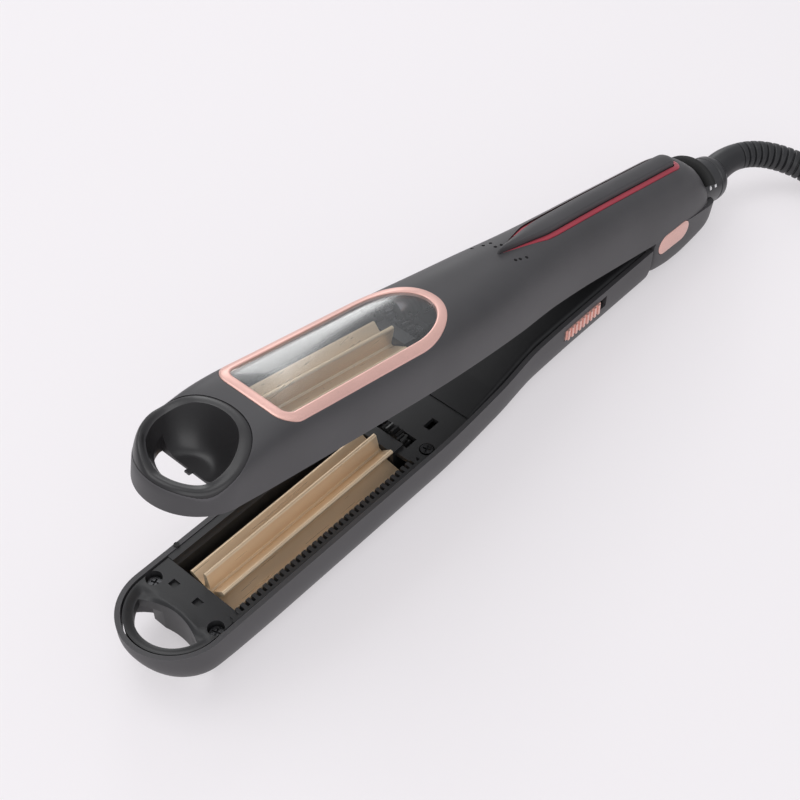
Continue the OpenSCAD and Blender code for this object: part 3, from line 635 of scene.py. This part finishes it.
def along_x(piece, x, y, z):
    """Moves a piece that was made about the X axis."""
    piece.data.transform(Matrix.Translation((x, y, z)))
    return piece


def round_hole(r, x, z, reach=20.0):
    """A cutter along X through (x, 0, z)."""
    return along_x(lathe([(-reach, 0), (reach, 0), (reach, r), (-reach, r)]), x, 0, z)


# ---------------------------------------------------------------------------
# Lower arm
# ---------------------------------------------------------------------------


PEEP_X = -285.3
PEEP_Y = 1.6
PEEP_RX = 12.8
PEEP_RY = 17.4


def peep_outline(grow=0.0):
    """The oval recess under the lower tip, which leaves the hanging hole's edge thin."""
    turns = [math.radians(a) for a in spaced(0, 355, 71)]
    return [(PEEP_X + (PEEP_RX + grow) * math.cos(a), PEEP_Y + (PEEP_RY + grow) * math.sin(a)) for a in turns]


def lower_casing():
    cuts = [
        arm_solid(LOWER_ARM, WALL, 2, LOWER_ARM.rear_x - WALL),
        prism(peep_outline(), -5, 17),
        block((-76.2, -46.8), (-20, -10), (14.0, 20.0)),
    ]
    piece = combine(arm_solid(LOWER_ARM), cuts)
    finish_piece(piece, LOWER, "lower_arm", CASING, ["lower_shell"])
    piece.name = "lower_casing"
    round_edges(piece, 0.00035)


def crease_x(y):
    """The curved edge of the hanging hole on the side of the hinge."""
    return -280.3 - 0.018 * (y + 1.5) ** 2


def nose_hole(low, high):
    """The hanging hole: round towards the tip, with the curved crease behind it."""
    outline = arc(LOWER_ARM.arch_x, 0, 15.4, 111.3, 254.2, 44)
    outline += [(crease_x(y), y) for y in spaced(-14.2, 13.8, 28)]
    return prism(outline, low, high)


def nose_height(x, y):
    """Top of the lower tip's inner plate: highest at the crease, falling towards the tip."""
    r = math.hypot(min(x - LOWER_ARM.arch_x, 0), y)
    fall = 1.5 * soft((19 - r) / 4.0) * soft((-279 - x) / 3.5)
    swell = 0.5 * math.exp(-((x - crease_x(y) - 1.2) / 1.3) ** 2) * soft((15 - abs(y)) / 4)
    return 22.6 - fall + swell


def nose_piece():
    """The plate in the lower tip, with its hanging hole, screw recesses and curved edge."""
    arch_x = LOWER_ARM.arch_x
    rear_x = -266.0
    edge_r = 19.0
    bm = bmesh.new()
    outline = [(rear_x, -edge_r)]
    outline += [(x, -edge_r) for x in spaced(rear_x, arch_x, 8)[1:-1]]
    outline += arc(arch_x, 0, edge_r, -90, -270, 56)
    outline += [(x, edge_r) for x in spaced(arch_x, rear_x, 8)[1:]]
    rows = []
    for x, y in outline:
        spine_x = max(x, arch_x)
        top = []
        for t in spaced(0, 1, 34):
            px = x + (spine_x - x) * t
            py = y * (1 - t)
            top.append((px, py, nose_height(px, py)))
        rows.append([(spine_x, 0, 17), (x, y, 17)] + top)
    grid = join_rows(bm, rows)
    bm.faces.new(grid[0] + grid[-1][::-1])
    piece = to_object("nose", bm)
    wall = combine(prism(peep_outline(1.5), 1.5, 17.6), [prism(peep_outline(0.02), -5, 40)])
    combine(wall, [arm_solid(LOWER_ARM, 1.9, 2)], "INTERSECT")
    skirt = block((-281.3, -277.6), (-15, 12), (7.5, 18))
    tray = combine(block((-272.0, rear_x), (-7.5, 7.5), (6, 18)), [round_hole(4.75, -269, 15.1, 8)])
    combine(piece, [wall, skirt, tray], "UNION")
    cuts = [nose_hole(-5, 40), round_hole(4.75, -269, 15.1, 8)]
    cuts += [disc(-275.5, y, 3.15, 18.45, 30) for y in (-16.1, 16.1)]
    cuts += [block((-273.9, -270.9), (y - 1.7, y + 1.7), (21.3, 30)) for y in (-3.4, 8.8)]
    combine(piece, cuts)
    finish_piece(piece, LOWER, "lower_arm", INNER, ["nose_plate"])
    piece.name = "nose_piece"
    round_edges(piece, 0.0004, segments=3)


# ---------------------------------------------------------------------------
# Upper arm
# ---------------------------------------------------------------------------

DISH_X = -270.4
DISH_RX = 18.0
DISH_RY = 20.2
TAIL_Z = 27.5
DISH_FLOOR = 27.3
DISH_HOLE_R = 13.6
DISH_HOLE_FLAT = 2.8
DISH_RIM = 0.78
COLLAR_Z = 27.0
COLLAR_R = 10.8
CAP_X = 3.0
CAP_Z = PARTING_Z - 2.1
FAR_VENTS = [(-114, 11.5), (-110.1, 9.1), (-106.9, 8.1), (-108.1, 4.8), (-105.3, 4.0), (-102.3, 3.1)]
NEAR_VENTS = [(-108.8, -5.9), (-106.7, -6.6), (-103.6, -7.4)]
BASE_SCREWS = [(x, side * 9) for x in (-128, -50) for side in (-1, 1)]


def dish_outline(grow=0.0):
    turns = [math.radians(a) for a in spaced(0, 355, 71)]
    return [(DISH_X + (DISH_RX + grow) * math.cos(a), (DISH_RY + grow) * math.sin(a)) for a in turns]


def band_outline(half):
    """The band along the handle's top: pointed at the front, rounded at the rear."""
    front, full, rear, offset = -111, -85, 7.4, 1.1
    points = arc(front, 0, 0.4, 100, 260, 6)
    points += [(x, -half + 0.6 * max(0, (full + 4 - x) / 8) ** 2) for x in (full - 3, full, full + 4)]
    points += [(x, -half) for x in spaced(full + 4, rear, 30)[1:-1]]
    points += arc(rear, 0, half, -90, 90, 24)
    points += [(x, half) for x in spaced(rear, full + 4, 30)[1:-1]]
    points += [(x, half - 0.6 * max(0, (full + 4 - x) / 8) ** 2) for x in (full + 4, full, full - 3)]
    return [(x, y + offset) for x, y in points]


def long_oval(half, r, steps=16):
    """An oval with straight sides, centred, as (along, up) points."""
    return arc(half - r, 0, r, -90, 90, steps) + arc(r - half, 0, r, 90, 270, steps)


def cap_place(side):
    """Where a hinge trim cap sits: its own Z points out of the arm's side."""
    return (
        Matrix.Translation((CAP_X, side * 15.5, CAP_Z))
        @ Matrix.Rotation(math.radians(-90 * side), 4, "X")
        @ Matrix.Rotation(math.radians(-9 * side), 4, "Z")
    )


def rear_block():
    """The hinge cheeks and tail block as one solid, with rounded lower edges."""
    bottom = smooth_curve([
        (-12, 20), (-11.2, 14), (-9.6, 8), (-7.2, 4.6), (-3.5, 3.4), (4, 3.2), (14, 4.6),
        (26, 8.4), (34, 11.6), (38, 14), (40, 17),
    ])
    half = smooth_curve([
        (-12, 15.3), (-8, 15.5), (14, 15.4), (26, 15), (33, 14.6), (37, 13.8), (39, 12.6), (40, 11.2),
    ])
    shoulder = 24.4
    turns = [math.radians(a) for a in spaced(0, 90, 14)]
    bm = bmesh.new()
    rows = []
    for side in (-1, 1):
        stations = spaced(-12, 40, 52)
        for x in stations if side < 0 else reversed(stations):
            row = [(x, 0, 26.8), (x, side * half(x), 26.8)]
            for turn in turns:
                y = side * half(x) * math.cos(turn) ** 0.4
                row.append((x, y, shoulder + (bottom(x) - shoulder) * math.sin(turn) ** 0.4))
            rows.append(row)
    join_rows(bm, rows, wrap=True)
    return to_object("rear", bm)


def upper_casing():
    """The upper arm's outer shell together with the hinge cheeks and the tail block."""
    piece = arm_solid(UPPER_ARM)
    band_cut = combine(prism(band_outline(7.2), 30, 70), [arm_solid(UPPER_ARM, 1.2, 4)])
    cuts = [
        arm_solid(UPPER_ARM, WALL, 2, -14),
        prism(window_outline(0), 27, 70),
        prism(dish_outline(), 20, 70),
        band_cut,
    ]
    combine(piece, cuts)
    combine(piece, [rear_block()], "UNION")
    cuts = [
        block((-30, 7), (-9.5, 9.5), (-5, 40)),
        round_hole(COLLAR_R + 0.15, 47, COLLAR_Z),
        combine(round_hole(14.9, 51.5, TAIL_Z), [block((20, 90), (-30, 30), (0, 26.8))]),
    ]
    for x, y in FAR_VENTS + NEAR_VENTS:
        cuts.append(disc(x, y, 0.75, UPPER_ARM.height(x, y) - 1.2, 60))
    for side in (-1, 1):
        seat = prism(long_oval(11.75, 5.15), -1.0, 5)
        seat.data.transform(cap_place(side))
        cuts.append(seat)
    combine(piece, cuts)
    finish_piece(piece, UPPER, "upper_arm", CASING, ["upper_shell", "hinge_housing"])
    piece.name = "upper_casing"
    round_edges(piece, 0.0004)


def underside():
    """The plate that closes the upper arm from below, open around the roller and the gears."""
    piece = prism(rim_outline(UPPER_ARM, 2.15, -12.6), UPPER_ARM.open_z, 26.4)
    cuts = [
        block((-266, -172.5), (-15.6, 15.6), (0, 60)),
        block((-168.3, -162.3), (-9.2, 14.6), (0, 60)),
        tip_opening(UPPER_ARM.arch_x, 15.4, 0, 70, -0.3),
        disc(-28, 0, 5.8, 0, 60),
    ]
    cuts += [disc(x, y, 2.75, 0, 25.5) for x, y in BASE_SCREWS]
    combine(piece, cuts)
    finish_piece(piece, UPPER, "upper_arm", INNER, ["upper_base"])
    piece.name = "underside"
    round_edges(piece, 0.0005)


def dish_point(turn, ratio):
    """A point of the dish; turn is its direction and ratio its distance from the middle."""
    across = (DISH_RX - 0.15) * math.cos(turn)
    side = (DISH_RY - 0.15) * math.sin(turn)
    edge = UPPER_ARM.height(DISH_X + across, side) - 0.3
    ahead = soft((0.6 - math.cos(turn)) / 1.1)
    swell = 0.5 + ahead * (0.7 + 4.6 * soft(math.sin(turn) * 1.3))
    inner = edge + 0.75 * swell
    if ratio > DISH_RIM:
        t = (1 - ratio) / (1 - DISH_RIM)
        climb = 1 - (1 - min(t / 0.5, 1)) ** 3
        z = edge + swell * climb - (edge + swell - inner) * soft(2 * t - 1)
    else:
        t = min((1 - ratio / DISH_RIM) / 0.62, 1)
        z = inner + (DISH_FLOOR - inner) * (1 - (1 - t) ** 2.4)
    return (DISH_X + across * ratio, side * ratio, z)


def tip_dish():
    """The bowl in the upper tip, with a broad rounded rim towards the front."""
    ratios = [1, 0.998, 0.993, 0.985, 0.973, 0.958, 0.94] + spaced(0.92, DISH_RIM, 7) + spaced(0.77, 0, 30)
    bm = bmesh.new()
    rows = []
    for a in spaced(0, 357, 119):
        turn = math.radians(a)
        edge = dish_point(turn, 1)
        rows.append([(DISH_X, 0, 26.5), (edge[0], edge[1], 26.5)] + [dish_point(turn, r) for r in ratios])
    join_rows(bm, rows, wrap=True)
    piece = to_object("dish", bm)
    straight_x = UPPER_ARM.arch_x - DISH_HOLE_FLAT
    hole = combine(
        tip_opening(UPPER_ARM.arch_x, DISH_HOLE_R, 0, 70, DISH_HOLE_FLAT),
        [block((straight_x - 1.6, straight_x + 1), (-1.6, 0.6), (-1, 71))],
    )
    combine(piece, [hole])
    finish_piece(piece, UPPER, "upper_arm", DISH, ["tip_dish"], 50)
    piece.name = "dish"
    round_edges(piece, 0.0004, 50, 3)


def window_bezel():
    piece = surface_band(UPPER_ARM, window_outline(0.12), window_outline(3.9), 0.5, 1.2)
    finish_piece(piece, UPPER, "upper_arm", ROSE, ["window_bezel"])
    piece.name = "window_ring"


def window_lens():
    piece = surface_sheet(UPPER_ARM, window_outline(4.0), 0, 0.15, 1.1, 0.5)
    finish_piece(piece, UPPER, "upper_arm", LENS, ["window_lens"])
    piece.name = "window_cover"


def handle_band():
    """The raised panel along the handle's top and the red strips beside it."""
    panel = surface_sheet(UPPER_ARM, band_outline(4.35), 1.1, 1.9, 0.9, 0.6)
    finish_piece(panel, UPPER, "upper_arm", CASING, ["top_panel"])
    panel.name = "handle_panel"
    strips = surface_band(UPPER_ARM, band_outline(7.05), band_outline(4.75), 0.35, 0.5, 0.4, 0.08)
    finish_piece(strips, UPPER, "upper_arm", RED, ["trim_strips"])
    strips.name = "handle_strips"


def vents():
    """Black gauze at the bottom of each small vent hole."""
    bm = bmesh.new()
    for x, y in FAR_VENTS + NEAR_VENTS:
        z = UPPER_ARM.height(x, y) - 1.0
        rows = []
        for a in spaced(0, 340, 17):
            side = (math.cos(math.radians(a)), math.sin(math.radians(a)))
            rows.append([
                (x, y, z - 0.5),
                (x + 0.7 * side[0], y + 0.7 * side[1], z - 0.5),
                (x + 0.7 * side[0], y + 0.7 * side[1], z),
                (x, y, z + 0.1),
            ])
        join_rows(bm, rows, wrap=True)
    piece = to_object("vents", bm)
    finish_piece(piece, UPPER, "upper_arm", VENT, ["vent_grille"])
    piece.name = "vents"


def hinge_caps():
    """The two oval trim caps over the hinge, slightly domed."""
    bm = bmesh.new()
    for side in (-1, 1):
        rows = []
        for x, y in long_oval(11.5, 4.9):
            sx = min(max(x, 4.9 - 11.5), 11.5 - 4.9)
            row = [(sx, 0, -1.0), (x, y, -1.0)]
            for t in (0, 0.02, 0.06, 0.12, 0.25, 0.45, 0.7, 1):
                rise = 0.05 + 0.3 * (1 - (1 - t) ** 6)
                row.append((x + (sx - x) * t, y * (1 - t), rise))
            rows.append([cap_place(side) @ Vector(point) for point in row])
        join_rows(bm, rows, wrap=True)
    piece = to_object("caps", bm)
    finish_piece(piece, UPPER, "upper_arm", ROSE, ["hinge_caps"])
    piece.name = "hinge_caps_trim"


# ---------------------------------------------------------------------------
# Tail, cord and plug
# ---------------------------------------------------------------------------

LOCK_X = 32.2
GUARD_BEND = math.radians(98)
GUARD_LEN = 70.0
GUARD_R = 6.2


def tail_collar():
    """The collar that the cord leaves through, with a rounded end and a fine ring groove."""
    r = COLLAR_R
    profile = [
        (29, 8.2), (29, r), (48.6, r), (48.9, r - 0.4), (49.5, r - 0.4), (49.8, r), (52, r),
        (53.6, r - 0.2), (54.8, r - 0.8), (55.6, r - 1.7), (55.9, r - 2.9), (55.9, 6.7), (50, 6.7), (50, 8.2),
    ]
    piece = along_x(lathe(profile, count=96), 0, 0, COLLAR_Z)
    finish_piece(piece, UPPER, "upper_arm", TAIL, ["tail_collar"], 30)
    piece.name = "collar"


def lock_slider():
    """The half ring that slides along the collar, with a raised grip rib."""
    end = LOCK_X + 6
    profile = [
        (LOCK_X + 0.2, 11.0), (LOCK_X, 11.3), (LOCK_X, 12.4), (LOCK_X + 0.4, 13.6), (LOCK_X + 1.0, 15.2),
        (LOCK_X + 1.8, 16.2), (LOCK_X + 2.6, 16.5), (LOCK_X + 3.4, 16.2), (LOCK_X + 4.6, 14.6),
        (end - 0.3, 12.9), (end, 12.1), (end, 11.3), (end - 0.2, 11.0),
    ]
    piece = along_x(lathe(profile, -54, 54, 48), 0, 0, COLLAR_Z)
    finish_piece(piece, UPPER, "lock", VENT, ["lock_slider"])
    piece.name = "lock_ring"
    round_edges(piece, 0.0005)


def collar_mark(name, along, shackle_lift):
    """A small padlock sign on the collar: a body and its shackle, closed or lifted open."""
    angle = math.radians(-64)
    r = COLLAR_R + 0.06
    outline = [(-0.75, -1.1), (0.75, -1.1), (0.75, 0.2), (-0.75, 0.2)]
    bow = arc(0, 0.2, 0.6, 0, 180, 10) + arc(0, 0.2, 0.35, 180, 0, 10)
    bm = bmesh.new()
    for shape, lift in ((outline, 0), (bow, shackle_lift)):
        low = []
        high = []
        for u, v in shape:
            turn = angle + (v + lift) / r
            for ring, radius in ((low, r - 0.1), (high, r + 0.03)):
                point = (along + u, radius * math.sin(turn), COLLAR_Z + radius * math.cos(turn))
                ring.append(bm.verts.new(point))
        count = len(low)
        for i in range(count):
            after = (i + 1) % count
            bm.faces.new((low[i], low[after], high[after], high[i]))
        bm.faces.new(low)
        bm.faces.new(high)
    piece = to_object("mark", bm)
    finish_piece(piece, UPPER, "upper_arm", WHITE)
    piece.name = name


def guard_centre(t):
    """The guard's centre line, in the scene's millimetres, for t from 0 to 1."""
    start = UPPER @ Vector((56, 0, TAIL_Z)) * 1000
    radius = GUARD_LEN / GUARD_BEND
    turn = t * GUARD_BEND
    rest = GUARD_R + 0.2
    lift = 5.2 * math.sin(math.pi * t ** 0.75)
    return Vector((
        start.x + 0.6 + radius * math.sin(turn),
        -radius * (1 - math.cos(turn)),
        rest + (start.z - rest) * (1 + math.cos(math.pi * t)) / 2 + lift,
    ))


def guard_radius(s):
    """Radius of the guard at the distance s: a smooth cone, then rounded ribs."""
    first, pitch = 17.0, 3.3
    if s < first:
        return GUARD_R + 0.75 - 0.75 * soft(s / first)
    phase = ((s - first) / pitch) % 1
    rib = min(1, 1.5 * abs(math.sin(math.pi * phase)) ** 0.8)
    return GUARD_R - 1.25 * (1 - rib)


def cord_guard():
    distances = spaced(0, GUARD_LEN, 296)
    centres = [guard_centre(s / GUARD_LEN) for s in distances]
    piece = tube(centres, [guard_radius(s) for s in distances], 40)
    finish_piece(piece, MM, "cord", VINYL, ["cord_guard"], 50)
    piece.name = "guard"


def cord_direction():
    return Vector((math.cos(GUARD_BEND), -math.sin(GUARD_BEND), 0))


def power_cord():
    """The cord: it leaves the guard, lies on the table and rises into the plug."""
    start = guard_centre(1)
    centres = []
    for s in spaced(-3, 62, 60):
        dip = 3.0 * soft(s / 18) * soft((60 - s) / 14)
        centres.append(start + cord_direction() * s - Vector((0, 0, dip)))
    piece = tube(centres, [3.1] * len(centres), 28)
    finish_piece(piece, MM, "cord", VINYL, ["power_cord"])
    piece.name = "cord_lead"


def plug_place():
    at = guard_centre(1) + cord_direction() * 60
    return MM @ Matrix.Translation(at) @ Matrix.Rotation(-GUARD_BEND, 4, "Z")


def plug_body():
    """A flat two-pin plug: a round neck that widens into a grooved grip."""
    wide = smooth_curve([(0, 4.6), (3, 5), (9, 9.5), (15, 14.6), (20, 15.4), (34, 15.2), (35.4, 14.4), (36, 13.4)])
    thick = smooth_curve([(0, 4.6), (3, 5), (12, 5.7), (20, 6), (34, 5.9), (35.4, 5.3), (36, 4.6)])
    bm = bmesh.new()
    rows = []
    for x in spaced(0, 36, 90):
        groove = 0.5 * max(0, math.sin(math.pi * (x - 12) / 1.7)) if 12 < x < 25.6 else 0
        power = 2 / (2 + 1.2 * soft(x / 16))
        row = []
        for a in spaced(0, 360, 56):
            c = math.cos(math.radians(a))
            s = math.sin(math.radians(a))
            y = math.copysign(abs(c) ** power, c) * (wide(x) - groove)
            z = math.copysign(abs(s) ** power, s) * (thick(x) - groove)
            row.append((x, y, z))
        rows.append(row)
    grid = join_rows(bm, rows)
    bm.faces.new(grid[0][:-1])
    bm.faces.new(grid[-1][:-1])
    piece = to_object("plug", bm)
    finish_piece(piece, plug_place(), "cord", TAIL, ["plug_body"], 50)
    piece.name = "plug"


def plug_pins():
    """The two pins: plain sleeves at the plug, then bare metal with rounded ends."""
    metal = [(-4, 0), (-4, 1.6), (10, 1.6), (10, 2)]
    metal += [(17.2 + x, r) for x, r in arc(0, 0, 2, 90, 0, 8)]
    sleeve = [(-4, 1.65), (9.9, 1.65), (9.9, 1.95), (-4, 1.95)]
    for side in (-1, 1):
        place = plug_place() @ Matrix.Translation((36, side * 9.3, 0))
        pin = lathe(metal, count=32)
        finish_piece(pin, place, "cord", NICKEL, ["plug_pins"])
        pin.name = "pin_left" if side > 0 else "pin_right"
        cover = lathe(sleeve, count=32)
        finish_piece(cover, place, "cord", TAIL)
        cover.name = "pin_sleeve_left" if side > 0 else "pin_sleeve_right"


# ---------------------------------------------------------------------------
# CAD pieces that are shown as they are
# ---------------------------------------------------------------------------

CAD_FINISH = {
    "side_rail": (INNER, 0.0003),
    "comb_rail": (INNER, 0.00015),
    "bearing_plate": (INNER, 0.0003),
    "handle_cover": (INNER, 0.0003),
    "hinge_knuckle": (INNER, 0.0003),
    "stop_bumper": (RUBBER, 0.0002),
    "plate_screws": (DARK_STEEL, 0.00015),
    "base_screws": (BLACK_OXIDE, 0.00015),
    "lower_bushes": (NYLON, 0.0002),
    "upper_bushes": (NYLON, 0.0002),
    "lower_heater": (STEEL, 0.0002),
    "upper_heater": (STEEL, 0.0002),
    "lower_gearmotor": (STEEL, 0.0003),
    "upper_gearmotor": (STEEL, 0.0003),
    "switch_body": (VENT, 0.0002),
    "switch_knob": (ROSE, 0.0002),
    "lower_roller": (GOLD, 0.0002),
    "upper_roller": (GOLD, 0.0002),
    "lower_roller_gear": (NYLON, 0.0001),
    "upper_roller_gear": (NYLON, 0.0001),
    "lower_pinion": (DARK_STEEL, 0.0001),
    "upper_pinion": (DARK_STEEL, 0.0001),
    "upper_frame": (INNER, 0.0003),
    "control_board": (BOARD, 0.0002),
    "power_leads": (LEADS, 0.0001),
    "hinge_pin": (STEEL, 0.0002),
    "opening_spring": (STEEL, 0.00005),
    "cord_swivel": (TAIL, 0.0002),
}


def dress_cad():
    """Gives the CAD pieces that stay in view their finish and soft edges."""
    for node, (material, width) in CAD_FINISH.items():
        piece = frame["nodes"][node]
        piece.data.materials.clear()
        piece.data.materials.append(material)
        for face in piece.data.polygons:
            face.material_index = 0
        round_edges(piece, width)


# ---------------------------------------------------------------------------
# Stage
# ---------------------------------------------------------------------------


def floor_and_light():
    n = Nodes("paper_floor")
    n.shader(
        Base_Color=(0.43, 0.415, 0.427, 1),
        Roughness=0.8,
        Emission_Color=(1.0, 0.965, 0.99, 1),
        Emission_Strength=0.47,
    )
    bm = bmesh.new()
    join_rows(bm, [[(x, y, -0.0002) for x in (-4, 4)] for y in (-4, 4)])
    mesh = bpy.data.meshes.new("floor")
    bm.to_mesh(mesh)
    bm.free()
    floor = bpy.data.objects.new("floor", mesh)
    floor.data.materials.append(n.material)
    bpy.context.scene.collection.objects.link(floor)

    world = bpy.data.worlds.new("studio")
    world.use_nodes = True
    world.node_tree.nodes["Background"].inputs["Color"].default_value = (0.95, 0.96, 1.0, 1)
    world.node_tree.nodes["Background"].inputs["Strength"].default_value = 0.52
    bpy.context.scene.world = world
    lamp("key", (-0.25, 0.75, 1.35), 1.1, 6.5)
    lamp("fill", (-0.9, -0.8, 1.0), 1.2, 7)
    lamp("top", (0.4, 0.1, 1.6), 1.3, 2.5)
    lamp("back", (1.2, 1.4, 0.8), 0.7, 5)


def lamp(name, place, size, power):
    """A square soft box that faces the object."""
    light = bpy.data.lights.new(name, "AREA")
    light.size = size
    light.energy = power
    holder = bpy.data.objects.new(name, light)
    holder.location = place
    holder.rotation_mode = "QUATERNION"
    holder.rotation_quaternion = (-Vector(place)).to_track_quat("-Z", "Y")
    bpy.context.scene.collection.objects.link(holder)


def camera():
    """The viewpoint: in front of the tips, to the comb's side, looking down."""
    azimuth = math.radians(-47.651)
    elevation = math.radians(47.003)
    back = Vector((
        math.sin(azimuth) * math.cos(elevation),
        -math.cos(azimuth) * math.cos(elevation),
        math.sin(elevation),
    ))
    data = bpy.data.cameras.new("camera")
    data.lens = 66.68
    data.sensor_width = 36
    holder = bpy.data.objects.new("camera", data)
    holder.location = (-0.3189, -0.2618, 0.4527)
    holder.rotation_mode = "QUATERNION"
    roll = Matrix.Rotation(math.radians(-0.587), 3, "Z").to_quaternion()
    holder.rotation_quaternion = (-back).to_track_quat("-Z", "Y") @ roll
    bpy.context.scene.collection.objects.link(holder)
    bpy.context.scene.camera = holder


lower_casing()
nose_piece()
upper_casing()
underside()
tip_dish()
window_bezel()
window_lens()
handle_band()
vents()
hinge_caps()
tail_collar()
lock_slider()
collar_mark("locked_mark", 38.7, 0.0)
collar_mark("unlocked_mark", 43.0, 0.5)
cord_guard()
power_cord()
plug_body()
plug_pins()
dress_cad()
floor_and_light()
camera()
bpy.context.scene.view_settings.view_transform = "Standard"
